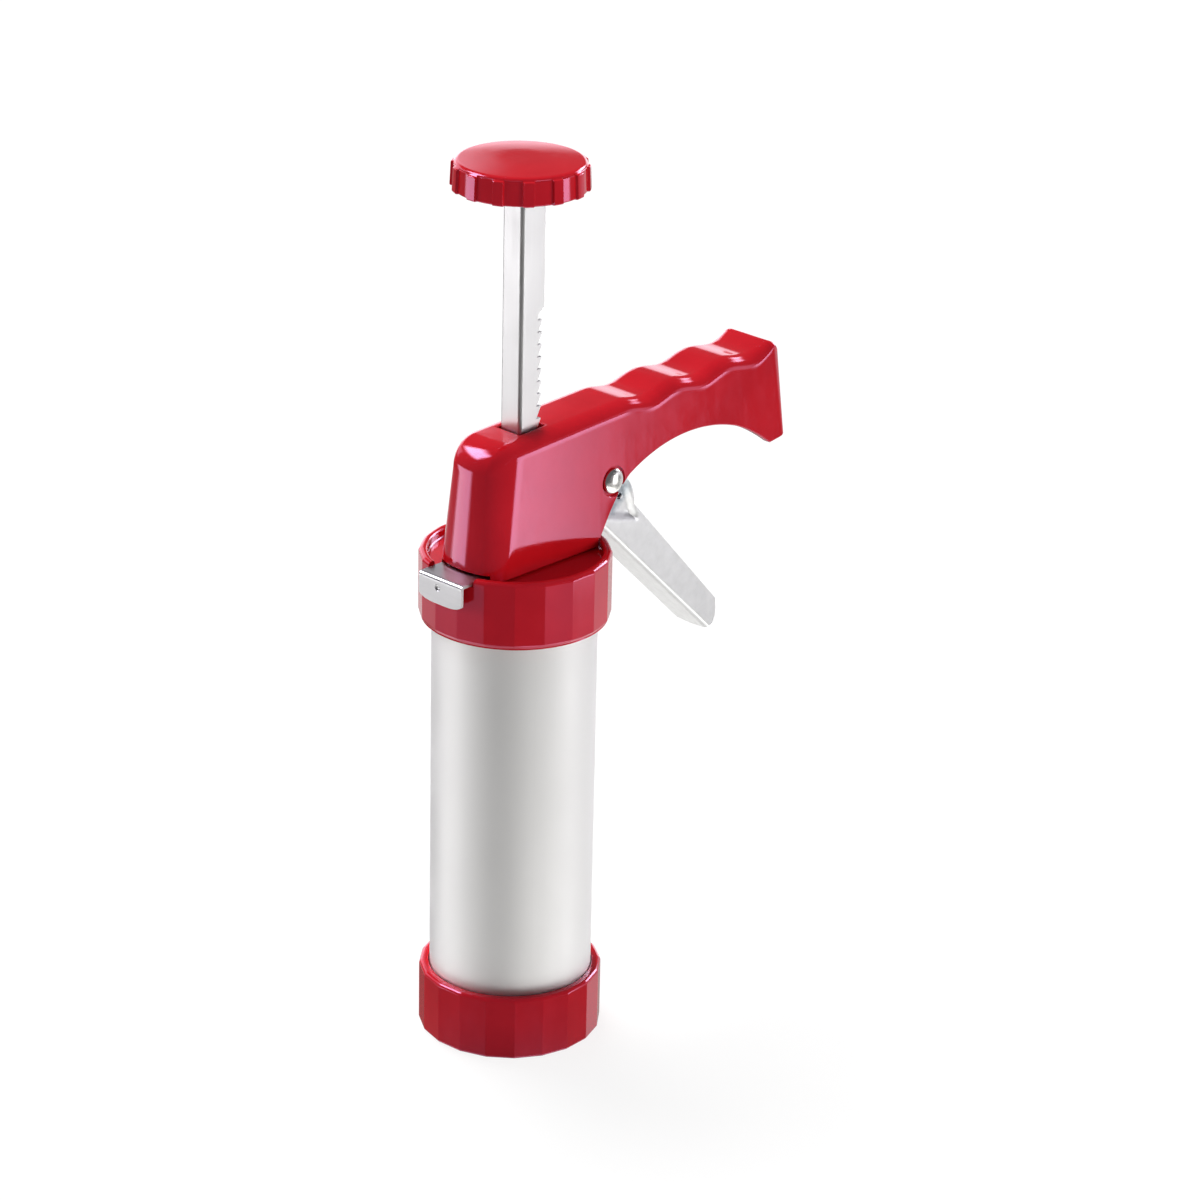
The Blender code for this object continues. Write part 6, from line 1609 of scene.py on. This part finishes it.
def make_camera():
    turn_cos, turn_sin = math.cos(CAMERA_AZIMUTH), math.sin(CAMERA_AZIMUTH)
    flat, rise = math.cos(CAMERA_ELEVATION), math.sin(CAMERA_ELEVATION)
    right = Vector((turn_cos, turn_sin, 0.0))
    back = Vector((turn_sin * flat, -turn_cos * flat, rise))
    up = back.cross(right)
    cos, sin = math.cos(CAMERA_ROLL), math.sin(CAMERA_ROLL)
    columns = Matrix((right * cos + up * sin, up * cos - right * sin, back)).transposed()
    place = Vector((AXIS_X, 0.0, CAMERA_AIM_UP)) + right * CAMERA_AIM_RIGHT + back * CAMERA_DISTANCE
    data = bpy.data.cameras.new("camera")
    data.lens = CAMERA_LENS
    data.sensor_width = CAMERA_SENSOR
    camera = bpy.data.objects.new("camera", data)
    bpy.context.scene.collection.objects.link(camera)
    camera.matrix_world = Matrix.Translation(place) @ columns.to_4x4()
    bpy.context.scene.camera = camera


FLOOR_RADIUS = 4.0
FLOOR_SHADOW_TONE = (0.16, 0.16, 0.16)
FLOOR_GLOW = 0.86
FLOOR_BOUNCE_TONE = (0.5, 0.5, 0.5)
TENT_RADIUS = 3.0
TENT_CENTRE_Z = 0.15
TENT_STEPS = 48
TENT_BASE = 0.13
HIGH_TINT = (0.96, 0.93, 1.0)
LOW_TINT = (1.0, 0.99, 0.97)
SKY_STRENGTH = 0.20
# Soft suns: azimuth, elevation, softness in degrees, and strength
SUNS = {
    "back_top": (75, 62, 30, 3.1),
    "right_side": (-68, 8, 40, 1.9),
    "left_side": (130, 10, 40, 1.2)}
# Cards that gloss and metal mirror, in degrees: azimuths, elevations, their softness, and level
CARDS = {
    "left_wall": (56, 173, -26, -16, 10, 3, 0.55),
    "tube_left": (104, 200, -56, -34, 10, 4, 1.25),
    "tube_right": (-128, -38, -56, -34, 10, 4, 1.9),
    "left_strip": (119, 146, -18, -4, 3, 1.5, 3.7),
    "panel_card": (-60, -45.3, -21.5, 3, 2.5, 1.2, 4.2),
    "side_round": (-46, -22, -4, 13, 6, 4, 1.1),
    "right_wall": (-108, -18, -25, -19, 8, 3, 0.55),
    "right_far": (-22, 33, -62, 12, 8, 6, 0.65),
    "behind": (51, 60, -62, 12, 4, 6, 0.8),
    "back_low": (18, 80, -12, 14, 8, 3, 1.7),
    "high_left": (47.5, 112, 10, 27, 3, 4, 1.4),
    "patch": (101, 139, 34, 54, 5, 4, 12.0),
    "glint": (-15, 13, 13, 31, 4, 4, 11.0),
    "table": (-179, 179, -90, -38, 1, 8, 0.9)}


def seen_rays(tree):
    """1 for the rays that see the floor and the backdrop as they are shown."""
    path = add_node(tree, "ShaderNodeLightPath").outputs
    seen = maths(tree, "MAXIMUM", path["Is Camera Ray"], path["Is Glossy Ray"])
    return maths(tree, "MAXIMUM", seen, path["Is Transmission Ray"])


def stage_material(name):
    """A material without its first shader, and its output node."""
    material, tree, shader = new_material(name)
    tree.nodes.remove(shader)
    material.cycles.emission_sampling = "NONE"
    return material, tree, tree.nodes["Material Output"]


def make_floor():
    """White to the camera with a faint shadow, and a pale bounce for everything else."""
    floor = new_piece("floor", disc_shape(FLOOR_RADIUS))
    material, tree, output = stage_material("floor")
    shadow = add_node(tree, "ShaderNodeBsdfDiffuse", {"Color": FLOOR_SHADOW_TONE}).outputs[0]
    glow = add_node(tree, "ShaderNodeEmission", {"Strength": FLOOR_GLOW}).outputs[0]
    shown = add_node(tree, "ShaderNodeAddShader", {0: shadow, 1: glow}).outputs[0]
    bounce = add_node(tree, "ShaderNodeBsdfDiffuse", {"Color": FLOOR_BOUNCE_TONE}).outputs[0]
    mixed = add_node(tree, "ShaderNodeMixShader", {0: seen_rays(tree), 1: bounce, 2: shown}).outputs[0]
    set_inputs(tree, output, {"Surface": mixed})
    floor.data.materials.append(material)
    floor.visible_glossy = False


def disc_shape(radius):
    shape = bmesh.new()
    shape.faces.new([shape.verts.new(point) for point in circle(radius, 0.0, TURN_STEPS)])
    return shape


def soft_range(tree, value, low, high, softness):
    """1 between two values and 0 outside, with soft ends."""
    rise = spread(tree, value, 0.0, 1.0, low - softness, low + softness, "SMOOTHSTEP")
    fall = spread(tree, value, 1.0, 0.0, high - softness, high + softness, "SMOOTHSTEP")
    return maths(tree, "MULTIPLY", rise, fall)


def make_tent():
    """The studio that gloss and metal mirror: pale cards round a dark camera side."""
    shape = bmesh.new()
    rows = TENT_STEPS // 2
    bmesh.ops.create_uvsphere(shape, u_segments=TENT_STEPS, v_segments=rows, radius=TENT_RADIUS)
    tent = new_piece("studio_tent", shape)
    tent.location.z = TENT_CENTRE_Z
    material, tree, output = stage_material("studio_tent")
    place = add_node(tree, "ShaderNodeTexCoord").outputs["Object"]
    facing = add_node(tree, "ShaderNodeVectorMath", {0: place}, operation="NORMALIZE").outputs[0]
    axes = add_node(tree, "ShaderNodeSeparateXYZ", {0: facing}).outputs
    azimuth = maths(tree, "DEGREES", maths(tree, "ARCTAN2", axes["Y"], axes["X"]))
    elevation = maths(tree, "DEGREES", maths(tree, "ARCSINE", axes["Z"]))
    light = TENT_BASE
    for left, right, low, high, soft_sides, soft_ends, level in CARDS.values():
        across = soft_range(tree, azimuth, left, right, soft_sides)
        upright = soft_range(tree, elevation, low, high, soft_ends)
        card = maths(tree, "MULTIPLY", maths(tree, "MULTIPLY", across, upright), level)
        light = maths(tree, "ADD", card, light)
    tint = mix_colour(tree, spread(tree, elevation, 0.0, 1.0, -30.0, 10.0), LOW_TINT, HIGH_TINT)
    glow = add_node(tree, "ShaderNodeEmission", {"Color": tint, "Strength": light}).outputs[0]
    set_inputs(tree, output, {"Surface": glow})
    tent.data.materials.append(material)
    tent.visible_camera = False
    tent.visible_diffuse = False
    tent.visible_transmission = False
    tent.visible_shadow = False


def make_suns():
    for name, (azimuth, elevation, softness, strength) in SUNS.items():
        sun = bpy.data.lights.new(name, "SUN")
        sun.energy = strength
        sun.angle = math.radians(softness)
        key = bpy.data.objects.new(name, sun)
        bpy.context.scene.collection.objects.link(key)
        turn, rise = math.radians(azimuth), math.radians(elevation)
        flat = math.cos(rise)
        towards = Vector((math.cos(turn) * flat, math.sin(turn) * flat, math.sin(rise)))
        key.rotation_mode = "QUATERNION"
        key.rotation_quaternion = towards.to_track_quat("Z", "Y")
        key.visible_glossy = False


def make_world():
    world = bpy.data.worlds.new("studio")
    bpy.context.scene.world = world
    world.use_nodes = True
    tree = world.node_tree
    strength = spread(tree, seen_rays(tree), SKY_STRENGTH, 1.0)
    set_inputs(tree, tree.nodes["Background"], {"Color": (1.0, 1.0, 1.0), "Strength": strength})


def dress_frame_nodes(steel, zinc):
    """Better metal for the small parts whose solids are already right."""
    for name in ("piston_screw", "piston_nut", "pawl", "pawl_pin", "head_screw_1", "head_screw_2",
                 "head_screw_3", "head_screw_4"):
        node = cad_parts[name]
        node.data.materials.clear()
        node.data.materials.append(steel if name == "pawl" else zinc)


def main():
    red = red_plastic()
    make_camera()
    make_barrel(metal("tube_aluminium"))
    make_pattern_disc(metal("disc_aluminium"))
    make_bottom_ring(red)
    make_head_cap(red)
    make_housing(red)
    make_rod(metal("rod_steel"))
    make_knob(red)
    make_piston(white_plastic())
    make_lever(lever_metal())
    make_rivet(metal("rivet_steel"))
    spring_steel = metal("spring_steel")
    make_lever_spring(spring_steel)
    make_pawl_spring(spring_steel)
    make_release_spring(spring_steel)
    make_release_plate(metal("plate_steel"))
    dress_frame_nodes(metal("pawl_steel"), metal("fastener_steel"))
    make_floor()
    make_tent()
    make_suns()
    make_world()
    scene = bpy.context.scene
    scene.view_settings.view_transform = "Standard"


main()
